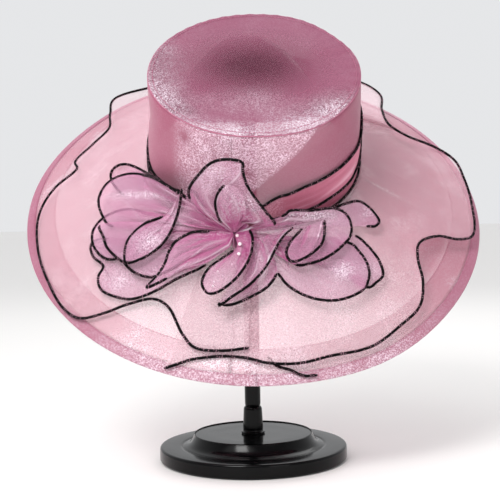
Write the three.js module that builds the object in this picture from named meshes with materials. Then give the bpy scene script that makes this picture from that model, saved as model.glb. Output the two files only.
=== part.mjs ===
// A wide-brimmed summer hat of sheer organza, resting tilted on a black plastic display stand.
// Millimetres, +Z up, the viewer at -Y. The origin is the middle of the stand's underside.
// Angles round the hat are in degrees from its front, and grow towards the wearer's left (+X).
import * as THREE from "three";

// How the hat sits on the stand
const HAT_PLACE = [5, 1.4, 275]; // middle of the crown's foot
const HAT_TILT = 41.8; // nod towards the viewer
const HAT_LEAN = 0.9; // lean to the side
const GAP = 0.35; // air between pieces that touch

// Crown and brim
const CLOTH = 1; // wall of a stiffened organza panel
const CROWN_FOOT_RADIUS = 95;
const CROWN_TIP_RADIUS = 92;
const CROWN_HEIGHT = 99;
const TIP_SWELL = 0.8; // rise of the tip disc in its middle
const BRIM_RADIUS = 215;
const BRIM_DROP = 62; // how far the brim's edge hangs below the crown's foot
const BINDING_WIDTH = 8.5; // wired hem round the brim
const BINDING_THICKNESS = 2.4;

// Black corded edges of the ruffle, sash and petals
const CORD_RADIUS = 1.1;
const CORD_OFFSET = CORD_RADIUS + GAP; // from the edge of a sheet to the middle of its cord

// Gathered knot of the flower, in the flower's own frame
const KNOT = { x: -18, z: -1.5, back: -7, front: -41, radius: 8 };

// Stand
const BASE_RADIUS = 86.5;
const BASE_RIM = 13; // height of the base's outer rim
const STEP_FOOT_RADIUS = 63;
const STEP_TOP_RADIUS = 54.5;
const STEP_TOP = 23; // height of the raised disc's face
const COLLAR_RADIUS = 11;
const COLLAR_TOP = 27;
const SLEEVE_RADIUS = 8.4;
const SLEEVE_TOP = 48;
const TUBE_RADIUS = 7.3;
const HEAD_RADIUS = 75; // domed head that carries the crown
const HEAD_TOP = 390.8;
const HEAD_RIM = 318;
const HEAD_WALL = 2.5;
const BOSS_RADIUS = 11;
const BOSS_DEPTH = 26;

// Soft bends of the brim's edge. Columns: angle, spread of the bend in degrees, height at the edge.
const BRIM_BENDS = [
  [33, 17, -5],
  [-148, 22, 4],
  [-95, 20, 2],
];

// Outer edge of the ruffle, from its start at the front, once round to the left, to its end.
// Columns: angle, distance from the hat's axis, height above the brim.
const RUFFLE_EDGE = [
  [-21, 214, 4.6],
  [-18.5, 208, 3.6],
  [-15, 201, 2.8],
  [-9, 196, 2.8],
  [-3, 196, 3.4],
  [3, 202, 6.5],
  [10, 204, 7],
  [18, 202, 6],
  [28, 204, 6],
  [37, 201, 7],
  [45, 199, 9],
  [50, 189, 13],
  [54, 175, 15],
  [59, 169, 16],
  [66, 179, 15],
  [71, 197, 12],
  [76, 208, 12],
  [86, 206, 14],
  [96, 205, 15],
  [104, 204, 16],
  [108, 188, 17],
  [111, 158, 18],
  [118, 149, 18],
  [129, 168, 18],
  [138, 200, 22],
  [147, 210, 24],
  [160, 205, 20],
  [173, 190, 14],
  [187, 180, 12],
  [202, 190, 16],
  [214, 182, 20],
  [223, 208, 18],
  [230, 190, 12],
  [238, 169, 8],
  [247, 172, 6],
  [255, 179, 6],
  [261, 172, 7],
  [267, 190, 7],
  [275, 202, 6],
  [287, 207, 5.5],
  [299, 210, 5.5],
  [308, 213, 5.5],
  [314, 210, 5.5],
  [319, 195, 6],
  [323, 182, 7],
  [329, 170, 8],
  [335, 172, 8],
  [341, 188, 8],
  [345, 195, 7],
  [351, 194, 6.4],
  [358, 190, 6],
];
const RUFFLE_STEPS = 108;
const RUFFLE_FOOT_RADIUS = 98.6;
const RUFFLE_FOOT_HEIGHT = [1.6, 3.4]; // height above the brim where the ruffle starts, and where it ends
const RUFFLE_END_TURN = 335; // angle past which the end lies over the start

// Tail of the ruffle's end, tucked under its start. Columns as above.
const RUFFLE_TAIL = [
  [2.5, 195, 3],
  [4.5, 202, 3],
  [7.5, 206, 3.2],
];

// Edges of the sash up the crown's side. Columns: angle, lower edge, fold, upper edge.
const SASH_STEPS = 40;
const SASH = [
  [-4, 4.5, 10.5, 22],
  [14, 4.5, 14, 37],
  [28, 4.5, 15, 41],
  [45, 4.5, 16.5, 42],
  [60, 4.5, 15.5, 42],
  [72, 5, 18, 41],
  [82, 9, 24, 44],
  [92, 16, 31, 52],
  [110, 22, 38, 58],
  [140, 20, 36, 56],
  [180, 14, 30, 48],
  [220, 9, 22, 36],
  [255, 5, 13, 22],
  [276, 4.5, 10, 16],
  [290, 4.5, 9.5, 15],
  [306, 4.5, 11, 19],
  [318, 5, 13, 24],
];

// Petals, back to front. An outline runs from the knot along one edge, round the tip and back.
// It has x and z in the flower's frame. lift is the height over the hat at the tip, root the
// height at the knot where it differs, tip the outline's row at the tip, and cord the first and
// last rows that carry the black cord.
const PETALS = [
  {
    name: "back_loop", lift: 9, tip: 4, cord: [1, 6],
    outline: [[-27, 3], [-56, 27], [-94, 50], [-115, 60], [-128, 57], [-131, 47], [-117, 32], [-79, 14], [-28, -2]],
  },
  {
    name: "left_lower", lift: 9, tip: 7, cord: [2, 12],
    outline: [[-28, -6], [-83, -7], [-128, -6], [-144, -11], [-143, -23], [-139, -33], [-136, -42],
      [-131, -51], [-111, -57], [-97, -55], [-81, -48], [-67, -40], [-42, -28], [-25, -11]],
  },
  {
    name: "left_middle", lift: 12, tip: 6, cord: [2, 9],
    outline: [[-28, 0], [-56, 6], [-88, 14], [-112, 19], [-132, 13], [-143, 1], [-142, -12], [-133, -22],
      [-121, -24], [-91, -18], [-56, -11], [-28, -5]],
  },
  {
    name: "left_upper", lift: 15, tip: 6, cord: [1, 8],
    outline: [[-26, 4], [-47, 21], [-64, 32], [-88, 46], [-112, 51], [-132, 44], [-140, 28], [-134, 12],
      [-124, 4], [-91, 0], [-28, 0]],
  },
  {
    name: "left_under", lift: 15, tip: 4, cord: [3.5, 8],
    outline: [[-28, -4], [-73, -7], [-109, -12], [-115, -20], [-112, -27], [-104, -34], [-93, -38],
      [-83, -37], [-60, -26], [-26, -9]],
  },
  {
    name: "left_wing", lift: 18, tip: 4, cord: [3, 7.4],
    outline: [[-28, 1], [-91, 7], [-118, 8], [-136, 5], [-132, -5], [-128, -14], [-119, -22], [-111, -26],
      [-97, -22], [-78, -9], [-28, -3]],
  },
  {
    name: "left_neck", lift: 21.5, tip: 3, cord: [1, 2.6],
    outline: [[-27, 6], [-41, 20], [-51, 33], [-57, 31], [-59, 21], [-64, 7], [-28, 0]],
  },
  {
    name: "left_front", lift: 21.5, bow: 2, tip: 6, cord: [0, 10],
    outline: [[-61, 35], [-64, 21], [-70, 4], [-76, -7], [-85, -16], [-97, -23], [-110, -26],
      [-111, -13], [-106, -3], [-94, 7], [-79, 13], [-67, 25]],
  },
  {
    name: "right_outer", lift: 9, tip: 6, cord: [3, 8],
    outline: [[-7, -5], [38, -5], [73, -6], [86, -5], [97, -14], [106, -26], [109, -38], [103, -44],
      [92, -48], [63, -34], [29, -20], [-8, -9]],
  },
  {
    name: "right_upper", lift: 9, tip: 7, cord: [2, 9],
    outline: [[-7, 3], [37, 9], [70, 20], [79, 23], [91, 25], [100, 20], [107, 12], [109, 7], [105, 3],
      [97, 3], [64, 3], [29, 1], [-8, -1]],
  },
  {
    name: "right_lower", lift: 12, tip: 8, cord: [2, 12],
    outline: [[-9, -9], [9, -24], [18, -35], [26, -45], [39, -53], [52, -57], [66, -58], [80, -55],
      [91, -49], [96, -39], [95, -29], [89, -19], [77, -10], [37, -5], [-8, -3]],
  },
  {
    name: "long_back", lift: 15, tip: 7, cord: [3, 7.2],
    outline: [[-8, -5], [8, -14], [17, -26], [17, -35], [9, -46], [-5, -54], [-20, -60], [-28, -59],
      [-14, -49], [-7, -34], [-11, -12]],
  },
  {
    name: "right_main", lift: 18, tip: 7, cord: [1, 11],
    outline: [[-8, 3], [21, 12], [29, 17], [47, 17], [64, 19], [75, 16], [81, 8], [81, -4], [72, -14],
      [60, -22], [46, -27], [32, -28], [13, -17], [-8, -6]],
  },
  {
    name: "right_lip", lift: 23.5, root: 21.9, tip: 4, cord: [0, 8],
    outline: [[39, 2], [29, -9], [25, -18], [29, -25], [39, -23], [50, -16], [56, -9], [58, 1], [58, 9]],
  },
  {
    name: "long_front", lift: 22, tip: 6, cord: [0, 6.3],
    outline: [[31, 3], [23, -4], [16, -15], [8, -29], [-5, -43], [-20, -53], [-31, -60], [-24, -47],
      [-17, -31], [-16, -11]],
  },
  {
    name: "pointed", lift: 25, bow: 2, tip: 7, cord: [0.7, 8.2],
    outline: [[-28, 0], [-43, 0], [-54, -1], [-67, -8], [-73, -17], [-76, -26], [-82, -36], [-91, -46],
      [-77, -40], [-60, -31], [-40, -25], [-22, -13]],
  },
  {
    name: "upper", lift: 25, root: 23.5, tip: 7, cord: [2, 12],
    outline: [[-27, 7], [-43, 16], [-54, 27], [-54, 36], [-46, 46], [-37, 54], [-26, 57], [-12, 55],
      [-11, 48], [-8, 38], [-1, 27], [7, 17], [15, 5], [-9, 7]],
  },
  {
    name: "curl", lift: 29, root: 26, bow: 2, tip: 4, cord: [1, 4.4],
    outline: [[-21, 8], [-28, 7], [-32, 15], [-33, 25], [-28, 35], [-20, 37], [-11, 29], [-9, 16], [-13, 7]],
  },
  {
    name: "oblong", lift: 29, bow: 3, tip: 7, cord: [0.2, 11.6],
    outline: [[-6, 2], [-4, -2], [-3, -6], [-4, -16], [-8, -26], [-17, -38], [-30, -48], [-39, -50],
      [-44, -45], [-44, -38], [-38, -29], [-25, -20], [-15, -13]],
  },
];
const PETAL_ROWS = 8;
const PETAL_COLUMNS = 3;
const CROTCH_SOFTNESS = 8; // how softly the flower's bed fills the fold between crown and brim

const COLOURS = {
  organza: 0xcf8aa4,
  tip: 0xc07f98,
  binding: 0xb8607f,
  ruffle: 0xdca3b6,
  sash: 0xb9547c,
  petal: 0xd68fb5,
  knot: 0xb53d83,
  cord: 0x1c1216,
  plastic: 0x0b0b0d,
};

const radians = THREE.MathUtils.degToRad;
const model = new THREE.Group();
const hat = new THREE.Group();
hat.position.set(...HAT_PLACE);
hat.rotation.set(radians(HAT_TILT), radians(HAT_LEAN), 0);
model.add(hat);

function addPiece(parent, name, geometry, color, roughness) {
  const mesh = new THREE.Mesh(geometry, new THREE.MeshStandardMaterial({ color, roughness, metalness: 0 }));
  mesh.name = name;
  parent.add(mesh);
  return mesh;
}

// A smooth value between the rows of a table, at an angle in its first column
function readTable(table, column, angle) {
  const above = table.findIndex((row) => row[0] > angle);
  const k = above < 0 ? table.length - 1 : Math.max(above, 1);
  const t = THREE.MathUtils.clamp((angle - table[k - 1][0]) / (table[k][0] - table[k - 1][0]), 0, 1);
  return THREE.MathUtils.lerp(table[k - 1][column], table[k][column], t * t * (3 - 2 * t));
}

// A closed wall of even thickness round a grid of points. at(u, v) is a point of its middle
// surface, for u along and v across. A ring closes on itself along u.
function wall(at, along, across, thickness, ring = false) {
  const columns = ring ? along : along + 1;
  const middle = [];
  for (let i = 0; i < columns; i++) {
    middle.push([]);
    for (let j = 0; j <= across; j++) {
      middle[i].push(at(i / along, j / across));
    }
  }
  const column = (i) => middle[ring ? (i + columns) % columns : THREE.MathUtils.clamp(i, 0, along)];
  const positions = [];
  for (const side of [1, -1]) {
    for (let i = 0; i < columns; i++) {
      for (let j = 0; j <= across; j++) {
        const run = column(i + 1)[j].clone().sub(column(i - 1)[j]);
        const rise = middle[i][Math.min(j + 1, across)].clone().sub(middle[i][Math.max(j - 1, 0)]);
        const normal = run.cross(rise).normalize();
        positions.push(...middle[i][j].clone().addScaledVector(normal, (side * thickness) / 2));
      }
    }
  }
  const under = columns * (across + 1);
  const index = [];
  const quad = (a, b, c, d) => index.push(a, b, c, a, c, d);
  const id = (i, j) => (i % columns) * (across + 1) + j;
  for (let i = 0; i < along; i++) {
    for (let j = 0; j < across; j++) {
      quad(id(i, j), id(i + 1, j), id(i + 1, j + 1), id(i, j + 1));
      quad(under + id(i, j), under + id(i, j + 1), under + id(i + 1, j + 1), under + id(i + 1, j));
    }
    quad(id(i, 0), under + id(i, 0), under + id(i + 1, 0), id(i + 1, 0));
    quad(id(i, across), id(i + 1, across), under + id(i + 1, across), under + id(i, across));
  }
  for (let j = 0; j < across && !ring; j++) {
    quad(id(0, j), id(0, j + 1), under + id(0, j + 1), under + id(0, j));
    quad(id(along, j), under + id(along, j), under + id(along, j + 1), id(along, j + 1));
  }
  const geometry = new THREE.BufferGeometry();
  geometry.setAttribute("position", new THREE.Float32BufferAttribute(positions, 3));
  geometry.setIndex(index);
  geometry.computeVertexNormals();
  return geometry;
}

// A corded edge: a thin round tube along points
function cord(points, steps, sides = 4) {
  const path = new THREE.CatmullRomCurve3(points, false, "centripetal");
  const section = new THREE.Shape();
  for (let k = 0; k < sides; k++) {
    const turn = (2 * Math.PI * k) / sides;
    section[k ? "lineTo" : "moveTo"](CORD_RADIUS * Math.cos(turn), CORD_RADIUS * Math.sin(turn));
  }
  return new THREE.ExtrudeGeometry(section, { steps, extrudePath: path, bevelEnabled: false });
}

// A turned solid from rows of radius and height
function turned(rows, segments) {
  const profile = rows.map(([radius, height]) => new THREE.Vector2(radius, height));
  return new THREE.LatheGeometry(profile, segments).rotateX(Math.PI / 2);
}

// A point of the hat's frame at an angle, a distance from its axis and a height
function polar(angle, radius, height) {
  return new THREE.Vector3(radius * Math.sin(radians(angle)), -radius * Math.cos(radians(angle)), height);
}

function crownRadius(height) {
  return THREE.MathUtils.lerp(CROWN_FOOT_RADIUS, CROWN_TIP_RADIUS, height / CROWN_HEIGHT);
}

function brimHeight(angle, radius) {
  const out = (radius - CROWN_FOOT_RADIUS) / (BRIM_RADIUS - CROWN_FOOT_RADIUS);
  let bend = 0;
  for (const [middle, spread, height] of BRIM_BENDS) {
    const away = THREE.MathUtils.euclideanModulo(angle - middle + 180, 360) - 180;
    bend += height * Math.exp(-((away / spread) ** 2));
  }
  return -BRIM_DROP * out + bend * out * out;
}

// Crown: the side is one band, the tip a disc that lies on it
function addCrown() {
  const top = CROWN_HEIGHT - CLOTH / 2 - GAP;
  const side = wall((u, v) => polar(360 * u, crownRadius(top * v), top * v), 60, 1, CLOTH, true);
  addPiece(hat, "crown_side", side, COLOURS.organza, 0.6);
  const under = CROWN_HEIGHT - CLOTH / 2;
  const edge = CROWN_TIP_RADIUS + CLOTH / 2;
  const swell = (share) => TIP_SWELL * (1 - share * share);
  const rows = [[0, under + swell(0)], [edge * 0.6, under + swell(0.6)], [edge, under]];
  rows.push([edge + CLOTH / 3, CROWN_HEIGHT], [edge, CROWN_HEIGHT + CLOTH / 2]);
  rows.push([edge * 0.6, CROWN_HEIGHT + CLOTH / 2 + swell(0.6)], [0, CROWN_HEIGHT + CLOTH / 2 + swell(0)]);
  addPiece(hat, "crown_tip", turned(rows, 60), COLOURS.tip, 0.6);
}

// Brim: a shallow cone from the crown's foot, with a thicker wired hem round its edge
function addBrim() {
  const hem = BRIM_RADIUS - BINDING_WIDTH;
  const ring = (inner, outer) => (u, v) => {
    const radius = THREE.MathUtils.lerp(inner, outer, v);
    return polar(360 * u, radius, brimHeight(360 * u, radius));
  };
  const cloth = wall(ring(CROWN_FOOT_RADIUS + CLOTH / 2 + 2 * GAP, hem - GAP), 72, 2, CLOTH, true);
  addPiece(hat, "brim", cloth, COLOURS.organza, 0.6);
  const binding = wall(ring(hem, BRIM_RADIUS), 72, 1, BINDING_THICKNESS, true);
  addPiece(hat, "brim_binding", binding, COLOURS.binding, 0.5);
}

// Ruffle: one strip that goes once round the brim. It hugs the brim near the crown, and its
// corded edge rises and folds.
function addRuffle() {
  const start = RUFFLE_EDGE[0][0];
  const turn = RUFFLE_EDGE[RUFFLE_EDGE.length - 1][0] - start;
  const edge = new THREE.CatmullRomCurve3(RUFFLE_EDGE.map((row) => new THREE.Vector3(...row)));
  const foot = (angle) => {
    const late = THREE.MathUtils.smoothstep(angle, RUFFLE_END_TURN - 60, RUFFLE_END_TURN);
    return THREE.MathUtils.lerp(...RUFFLE_FOOT_HEIGHT, late);
  };
  const at = (share, out) => {
    const rim = edge.getPoint(share);
    const angle = THREE.MathUtils.lerp(start + turn * share, rim.x, out ** 2);
    const radius = THREE.MathUtils.lerp(RUFFLE_FOOT_RADIUS, rim.y, out);
    const height = THREE.MathUtils.lerp(foot(angle), rim.z, out ** 2.5);
    return polar(angle, radius, brimHeight(angle, radius) + height);
  };
  addPiece(hat, "ruffle", wall(at, RUFFLE_STEPS, 3, CLOTH), COLOURS.ruffle, 0.55);
  const points = [];
  for (let k = 0; k <= RUFFLE_STEPS; k++) {
    const rim = at(k / RUFFLE_STEPS, 1);
    const along = at(Math.min((k + 0.5) / RUFFLE_STEPS, 1), 1).sub(at(Math.max((k - 0.5) / RUFFLE_STEPS, 0), 1));
    const out = rim.clone().sub(at(k / RUFFLE_STEPS, 0.93)).projectOnPlane(along.normalize()).normalize();
    points.push(rim.addScaledVector(out, CORD_OFFSET + 2 * GAP));
  }
  addPiece(hat, "ruffle_cord", cord(points, RUFFLE_STEPS), COLOURS.cord, 0.8);
  const tail = RUFFLE_TAIL.map(([angle, radius, height]) => polar(angle, radius, brimHeight(angle, radius) + height));
  addPiece(hat, "ruffle_tail_cord", cord(tail, 6), COLOURS.cord, 0.8);
}

// Sash: a band folded along its length, so two strips and three corded edges
function addSash() {
  const start = SASH[0][0];
  const turn = SASH[SASH.length - 1][0] - start;
  const [LOWER, FOLD, UPPER] = [1, 2, 3];
  const strip = (low, lowGap, high, highGap) => (u, v) => {
    const angle = start + turn * u;
    const bottom = readTable(SASH, low, angle) + lowGap;
    const height = THREE.MathUtils.lerp(bottom, readTable(SASH, high, angle) - highGap, v);
    return polar(angle, crownRadius(height) + CLOTH + GAP, height);
  };
  addPiece(hat, "sash_lower", wall(strip(LOWER, 0, FOLD, CORD_OFFSET + GAP), SASH_STEPS, 1, CLOTH), COLOURS.sash, 0.5);
  addPiece(hat, "sash_upper", wall(strip(FOLD, CORD_OFFSET + GAP, UPPER, 0), SASH_STEPS, 1, CLOTH), COLOURS.sash, 0.5);
  const edges = [["lower", LOWER, -CORD_OFFSET - GAP], ["fold", FOLD, 0], ["upper", UPPER, CORD_OFFSET + GAP]];
  for (const [name, column, shift] of edges) {
    const points = [];
    for (let k = 0; k <= SASH_STEPS; k++) {
      const angle = start + (turn * k) / SASH_STEPS;
      const height = readTable(SASH, column, angle) + shift;
      points.push(polar(angle, crownRadius(height) + CLOTH / 2 + CORD_OFFSET, height));
    }
    addPiece(hat, `sash_cord_${name}`, cord(points, SASH_STEPS), COLOURS.cord, 0.8);
  }
}

// The flower's frame stands upright at the front of the crown's foot, with x to the right, y
// away from the viewer and z up. bed is how far back the hat lies behind a point of it.
function bed(x, z) {
  const [c, s] = [Math.cos(radians(HAT_TILT)), Math.sin(radians(HAT_TILT))];
  const foot = CROWN_FOOT_RADIUS;
  const crown = (foot - Math.sqrt(Math.max(foot * foot - x * x, 0)) - s * z) / c;
  let [near, far] = [-400, 400];
  for (let k = 0; k < 40; k++) {
    const y = (near + far) / 2;
    const radius = Math.hypot(x, c * y + s * z - foot);
    const above = c * z - s * y + (BRIM_DROP * (radius - foot)) / (BRIM_RADIUS - foot);
    [near, far] = above > 0 ? [y, far] : [near, y];
  }
  const first = Math.min(crown, near);
  const blend = Math.exp((first - crown) / CROTCH_SOFTNESS) + Math.exp((first - near) / CROTCH_SOFTNESS);
  return first - CROTCH_SOFTNESS * Math.log(blend);
}

// A point in front of x and z, with its height measured square to the hat
function overHat(x, z, height) {
  const slopeX = (bed(x + 1, z) - bed(x - 1, z)) / 2;
  const slopeZ = (bed(x, z + 1) - bed(x, z - 1)) / 2;
  const stretch = Math.min(Math.hypot(1, slopeX, slopeZ), 2);
  return new THREE.Vector3(x, bed(x, z) - height * stretch, z);
}

// Points evenly spaced along part of a curve
function evenPoints(curve, from, to, count) {
  const fine = [];
  for (let k = 0; k <= 80; k++) {
    fine.push(curve.getPoint(THREE.MathUtils.lerp(from, to, k / 80)));
  }
  const even = new THREE.CatmullRomCurve3(fine);
  return Array.from({ length: count + 1 }, (_, k) => even.getPointAt(k / count));
}

// An outline whose open end is moved to lie against the knot
function seatRoot(outline) {
  const root = new THREE.Line3(
    new THREE.Vector3(outline[0][0], 0, outline[0][1]),
    new THREE.Vector3(outline[outline.length - 1][0], 0, outline[outline.length - 1][1]),
  );
  const middle = new THREE.Vector3(KNOT.x, 0, KNOT.z);
  const away = root.closestPointToPoint(middle, true, new THREE.Vector3()).sub(middle);
  const move = away.clone().setLength(KNOT.radius + GAP + CLOTH / 2).sub(away);
  if (away.length() > 2 * KNOT.radius) {
    return outline;
  }
  return outline.map(([x, z], k) => (k % (outline.length - 1) ? [x, z] : [x + move.x, z + move.z]));
}

// A petal: a sheet lofted between its two edges, and a cord along the part of them that shows
function addPetal(flower, petal) {
  const { name, lift, root = lift, bow = 0, tip } = petal;
  const outline = seatRoot(petal.outline);
  const last = outline.length - 1;
  const edge = new THREE.CatmullRomCurve3(outline.map(([x, z]) => new THREE.Vector3(x, 0, z)), false, "centripetal");
  const blunt = 0.14;
  const one = evenPoints(edge, 0, (tip / last) * (1 - blunt), PETAL_ROWS);
  const other = evenPoints(edge, 1, tip / last + blunt * (1 - tip / last), PETAL_ROWS);
  const rise = (share) => THREE.MathUtils.lerp(root, lift, Math.min(share, 1));
  const at = (u, v) => {
    const k = Math.round(u * PETAL_ROWS);
    const point = one[k].clone().lerp(other[k], v);
    return overHat(point.x, point.z, rise(u) + 4 * bow * v * (1 - v) * Math.sin(Math.PI * u));
  };
  addPiece(flower, `petal_${name}`, wall(at, PETAL_ROWS, PETAL_COLUMNS, CLOTH), COLOURS.petal, 0.5);
  const [from, to] = petal.cord;
  const count = Math.round((to - from) * 2);
  const area = outline.reduce((sum, [x, z], k) => {
    const [nextX, nextZ] = outline[(k + 1) % outline.length];
    return sum + x * nextZ - nextX * z;
  }, 0);
  const points = [];
  for (let k = 0; k <= count; k++) {
    const t = THREE.MathUtils.lerp(from, to, k / count);
    const point = edge.getPoint(t / last);
    const way = edge.getTangent(t / last);
    const out = new THREE.Vector3(way.z, 0, -way.x).multiplyScalar(Math.sign(area) * (CORD_OFFSET + GAP / 2));
    const share = t <= tip ? t / tip : (last - t) / (last - tip);
    points.push(overHat(point.x + out.x, point.z + out.z, rise(share)));
  }
  addPiece(flower, `cord_${name}`, cord(points, count + 2), COLOURS.cord, 0.8);
}

// Flower: petals one over another, gathered at a knot that stands out from the crown's foot
function addFlower() {
  const flower = new THREE.Group();
  flower.position.set(0, -CROWN_FOOT_RADIUS, 0);
  flower.rotation.x = -radians(HAT_TILT);
  hat.add(flower);
  for (const petal of PETALS) {
    addPetal(flower, petal);
  }
  const { radius, back, front } = KNOT;
  const rows = [[0, back], [radius - 1, back], [radius, back - 1], [radius, front + 5]];
  rows.push([radius * 0.8, front + 1.5], [radius * 0.4, front], [0, front]);
  const knot = new THREE.LatheGeometry(rows.map(([r, y]) => new THREE.Vector2(r, -y)), 20).rotateX(Math.PI);
  const piece = addPiece(flower, "flower_knot", knot, COLOURS.knot, 0.5);
  piece.position.set(KNOT.x, 0, KNOT.z);
}

// Stand: a weighted round base, a collar and sleeve, the pole, and a hollow domed head on it
function addStand() {
  const base = [[0, 0], [BASE_RADIUS - 2, 0], [BASE_RADIUS, 2], [BASE_RADIUS, BASE_RIM - 3]];
  base.push([BASE_RADIUS - 1, BASE_RIM - 0.8], [BASE_RADIUS - 3.5, BASE_RIM], [STEP_FOOT_RADIUS + 2, BASE_RIM]);
  base.push([STEP_FOOT_RADIUS, BASE_RIM + 1], [STEP_FOOT_RADIUS - 3, BASE_RIM + 4]);
  base.push([STEP_TOP_RADIUS + 1.5, BASE_RIM + 7], [STEP_TOP_RADIUS + 0.6, STEP_TOP - 1.2]);
  base.push([STEP_TOP_RADIUS - 1, STEP_TOP], [0, STEP_TOP]);
  addPiece(model, "stand_base", turned(base, 48), COLOURS.plastic, 0.2);

  const foot = STEP_TOP + GAP;
  const sleeve = [[0, foot], [COLLAR_RADIUS, foot], [COLLAR_RADIUS, COLLAR_TOP - 1], [COLLAR_RADIUS - 1, COLLAR_TOP]];
  sleeve.push([SLEEVE_RADIUS, COLLAR_TOP], [SLEEVE_RADIUS, SLEEVE_TOP - 1], [SLEEVE_RADIUS - 1, SLEEVE_TOP]);
  sleeve.push([0, SLEEVE_TOP]);
  addPiece(model, "stand_sleeve", turned(sleeve, 24), COLOURS.plastic, 0.25);

  const bossFoot = HEAD_TOP - HEAD_WALL - BOSS_DEPTH;
  const poleTop = bossFoot - GAP;
  const pole = [[0, SLEEVE_TOP + GAP], [TUBE_RADIUS, SLEEVE_TOP + GAP], [TUBE_RADIUS, poleTop], [0, poleTop]];
  addPiece(model, "stand_pole", turned(pole, 24), COLOURS.plastic, 0.25);

  // The head's height falls with the square of the distance from the pole.
  const shell = (radius) => HEAD_TOP - (HEAD_TOP - HEAD_RIM) * (radius / HEAD_RADIUS) ** 2;
  const steps = 6;
  const head = [[0, bossFoot], [BOSS_RADIUS, bossFoot]];
  for (let k = 1; k <= steps; k++) {
    const radius = THREE.MathUtils.lerp(BOSS_RADIUS, HEAD_RADIUS - HEAD_WALL, k / steps);
    head.push([radius, shell(radius) - HEAD_WALL * 1.6]);
  }
  head.push([HEAD_RADIUS - 0.6, HEAD_RIM - HEAD_WALL]);
  for (let k = steps; k >= 0; k--) {
    const radius = (HEAD_RADIUS * k) / steps;
    head.push([radius, shell(radius)]);
  }
  addPiece(model, "stand_head", turned(head, 36), COLOURS.plastic, 0.25);
}

addCrown();
addBrim();
addRuffle();
addSash();
addFlower();
addStand();

export default model;
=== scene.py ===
import math
import bpy
from mathutils import Matrix, Vector, noise


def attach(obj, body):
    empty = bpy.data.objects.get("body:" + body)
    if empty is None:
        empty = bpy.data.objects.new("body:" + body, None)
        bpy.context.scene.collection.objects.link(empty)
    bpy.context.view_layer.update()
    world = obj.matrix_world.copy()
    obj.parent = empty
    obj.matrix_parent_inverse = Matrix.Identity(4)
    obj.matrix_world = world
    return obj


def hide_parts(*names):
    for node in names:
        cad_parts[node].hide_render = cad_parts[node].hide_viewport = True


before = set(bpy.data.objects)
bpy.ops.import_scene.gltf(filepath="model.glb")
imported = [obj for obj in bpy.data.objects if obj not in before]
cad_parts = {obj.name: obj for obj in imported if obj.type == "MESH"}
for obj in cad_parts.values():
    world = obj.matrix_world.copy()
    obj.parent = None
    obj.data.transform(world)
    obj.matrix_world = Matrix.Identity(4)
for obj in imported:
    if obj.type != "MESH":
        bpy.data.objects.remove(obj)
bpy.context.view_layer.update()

# The photograph's view: a camera a metre in front of the hat, tipped down by two degrees and held one
# degree off level. A pale floor runs out of sight under soft light from the front, left and above.
PHOTO_WIDTH = 500  # pixels
FOCAL_PIXELS = 1066.6
CAMERA_PLACE = (0, -0.9844, 0.2272)
CAMERA_DIP = math.radians(1.9)
CAMERA_ROLL = math.radians(-1)
FLOOR_COLOUR = "F6F4F2"
WALL_COLOUR = "F3F4F6"
ROOM_GLOW = (0.42, 0.88)  # behind the camera, and beyond the hat
FLOOR_PLACE = (0, 0, -0.0003)  # just under the stand's foot


def linear(code):
    """The linear colour of an sRGB hex code."""
    parts = [int(code[k:k + 2], 16) / 255 for k in (0, 2, 4)]
    return tuple(c / 12.92 if c <= 0.04045 else ((c + 0.055) / 1.055) ** 2.4 for c in parts) + (1.0,)


def feed(tree, node, links):
    """Give each input named in links its value, or link it to its socket."""
    for name, value in links.items():
        if isinstance(value, bpy.types.NodeSocket):
            tree.links.new(value, node.inputs[name])
        else:
            node.inputs[name].default_value = value


def add(tree, kind, links=None, **settings):
    """A shader node with its settings, and a value or a socket for each input named in links."""
    made = tree.nodes.new("ShaderNode" + kind)
    for name, value in settings.items():
        setattr(made, name, value)
    feed(tree, made, links or {})
    return made


def new_material(name):
    """A material, its node tree and its Principled shader."""
    made = bpy.data.materials.new(name)
    made.use_nodes = True
    return made, made.node_tree, made.node_tree.nodes["Principled BSDF"]


def soft_light(name, watts, size, place, aim):
    lamp = bpy.data.lights.new(name, "AREA")
    lamp.energy = watts
    lamp.size = size
    held = bpy.data.objects.new(name, lamp)
    held.location = place
    held.rotation_euler = (Vector(aim) - Vector(place)).to_track_quat("-Z", "Y").to_euler()
    bpy.context.collection.objects.link(held)


scene = bpy.context.scene
scene.view_settings.view_transform = "Standard"
camera = bpy.data.objects.new("camera", bpy.data.cameras.new("camera"))
camera.data.sensor_width = 36
camera.data.lens = camera.data.sensor_width * FOCAL_PIXELS / PHOTO_WIDTH
camera.data.clip_end = 40
camera.matrix_world = (
    Matrix.Translation(CAMERA_PLACE)
    @ Matrix.Rotation(math.pi / 2 - CAMERA_DIP, 4, "X")
    @ Matrix.Rotation(CAMERA_ROLL, 4, "Z")
)
bpy.context.collection.objects.link(camera)
scene.camera = camera

world = bpy.data.worlds.new("studio")
world.use_nodes = True
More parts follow.
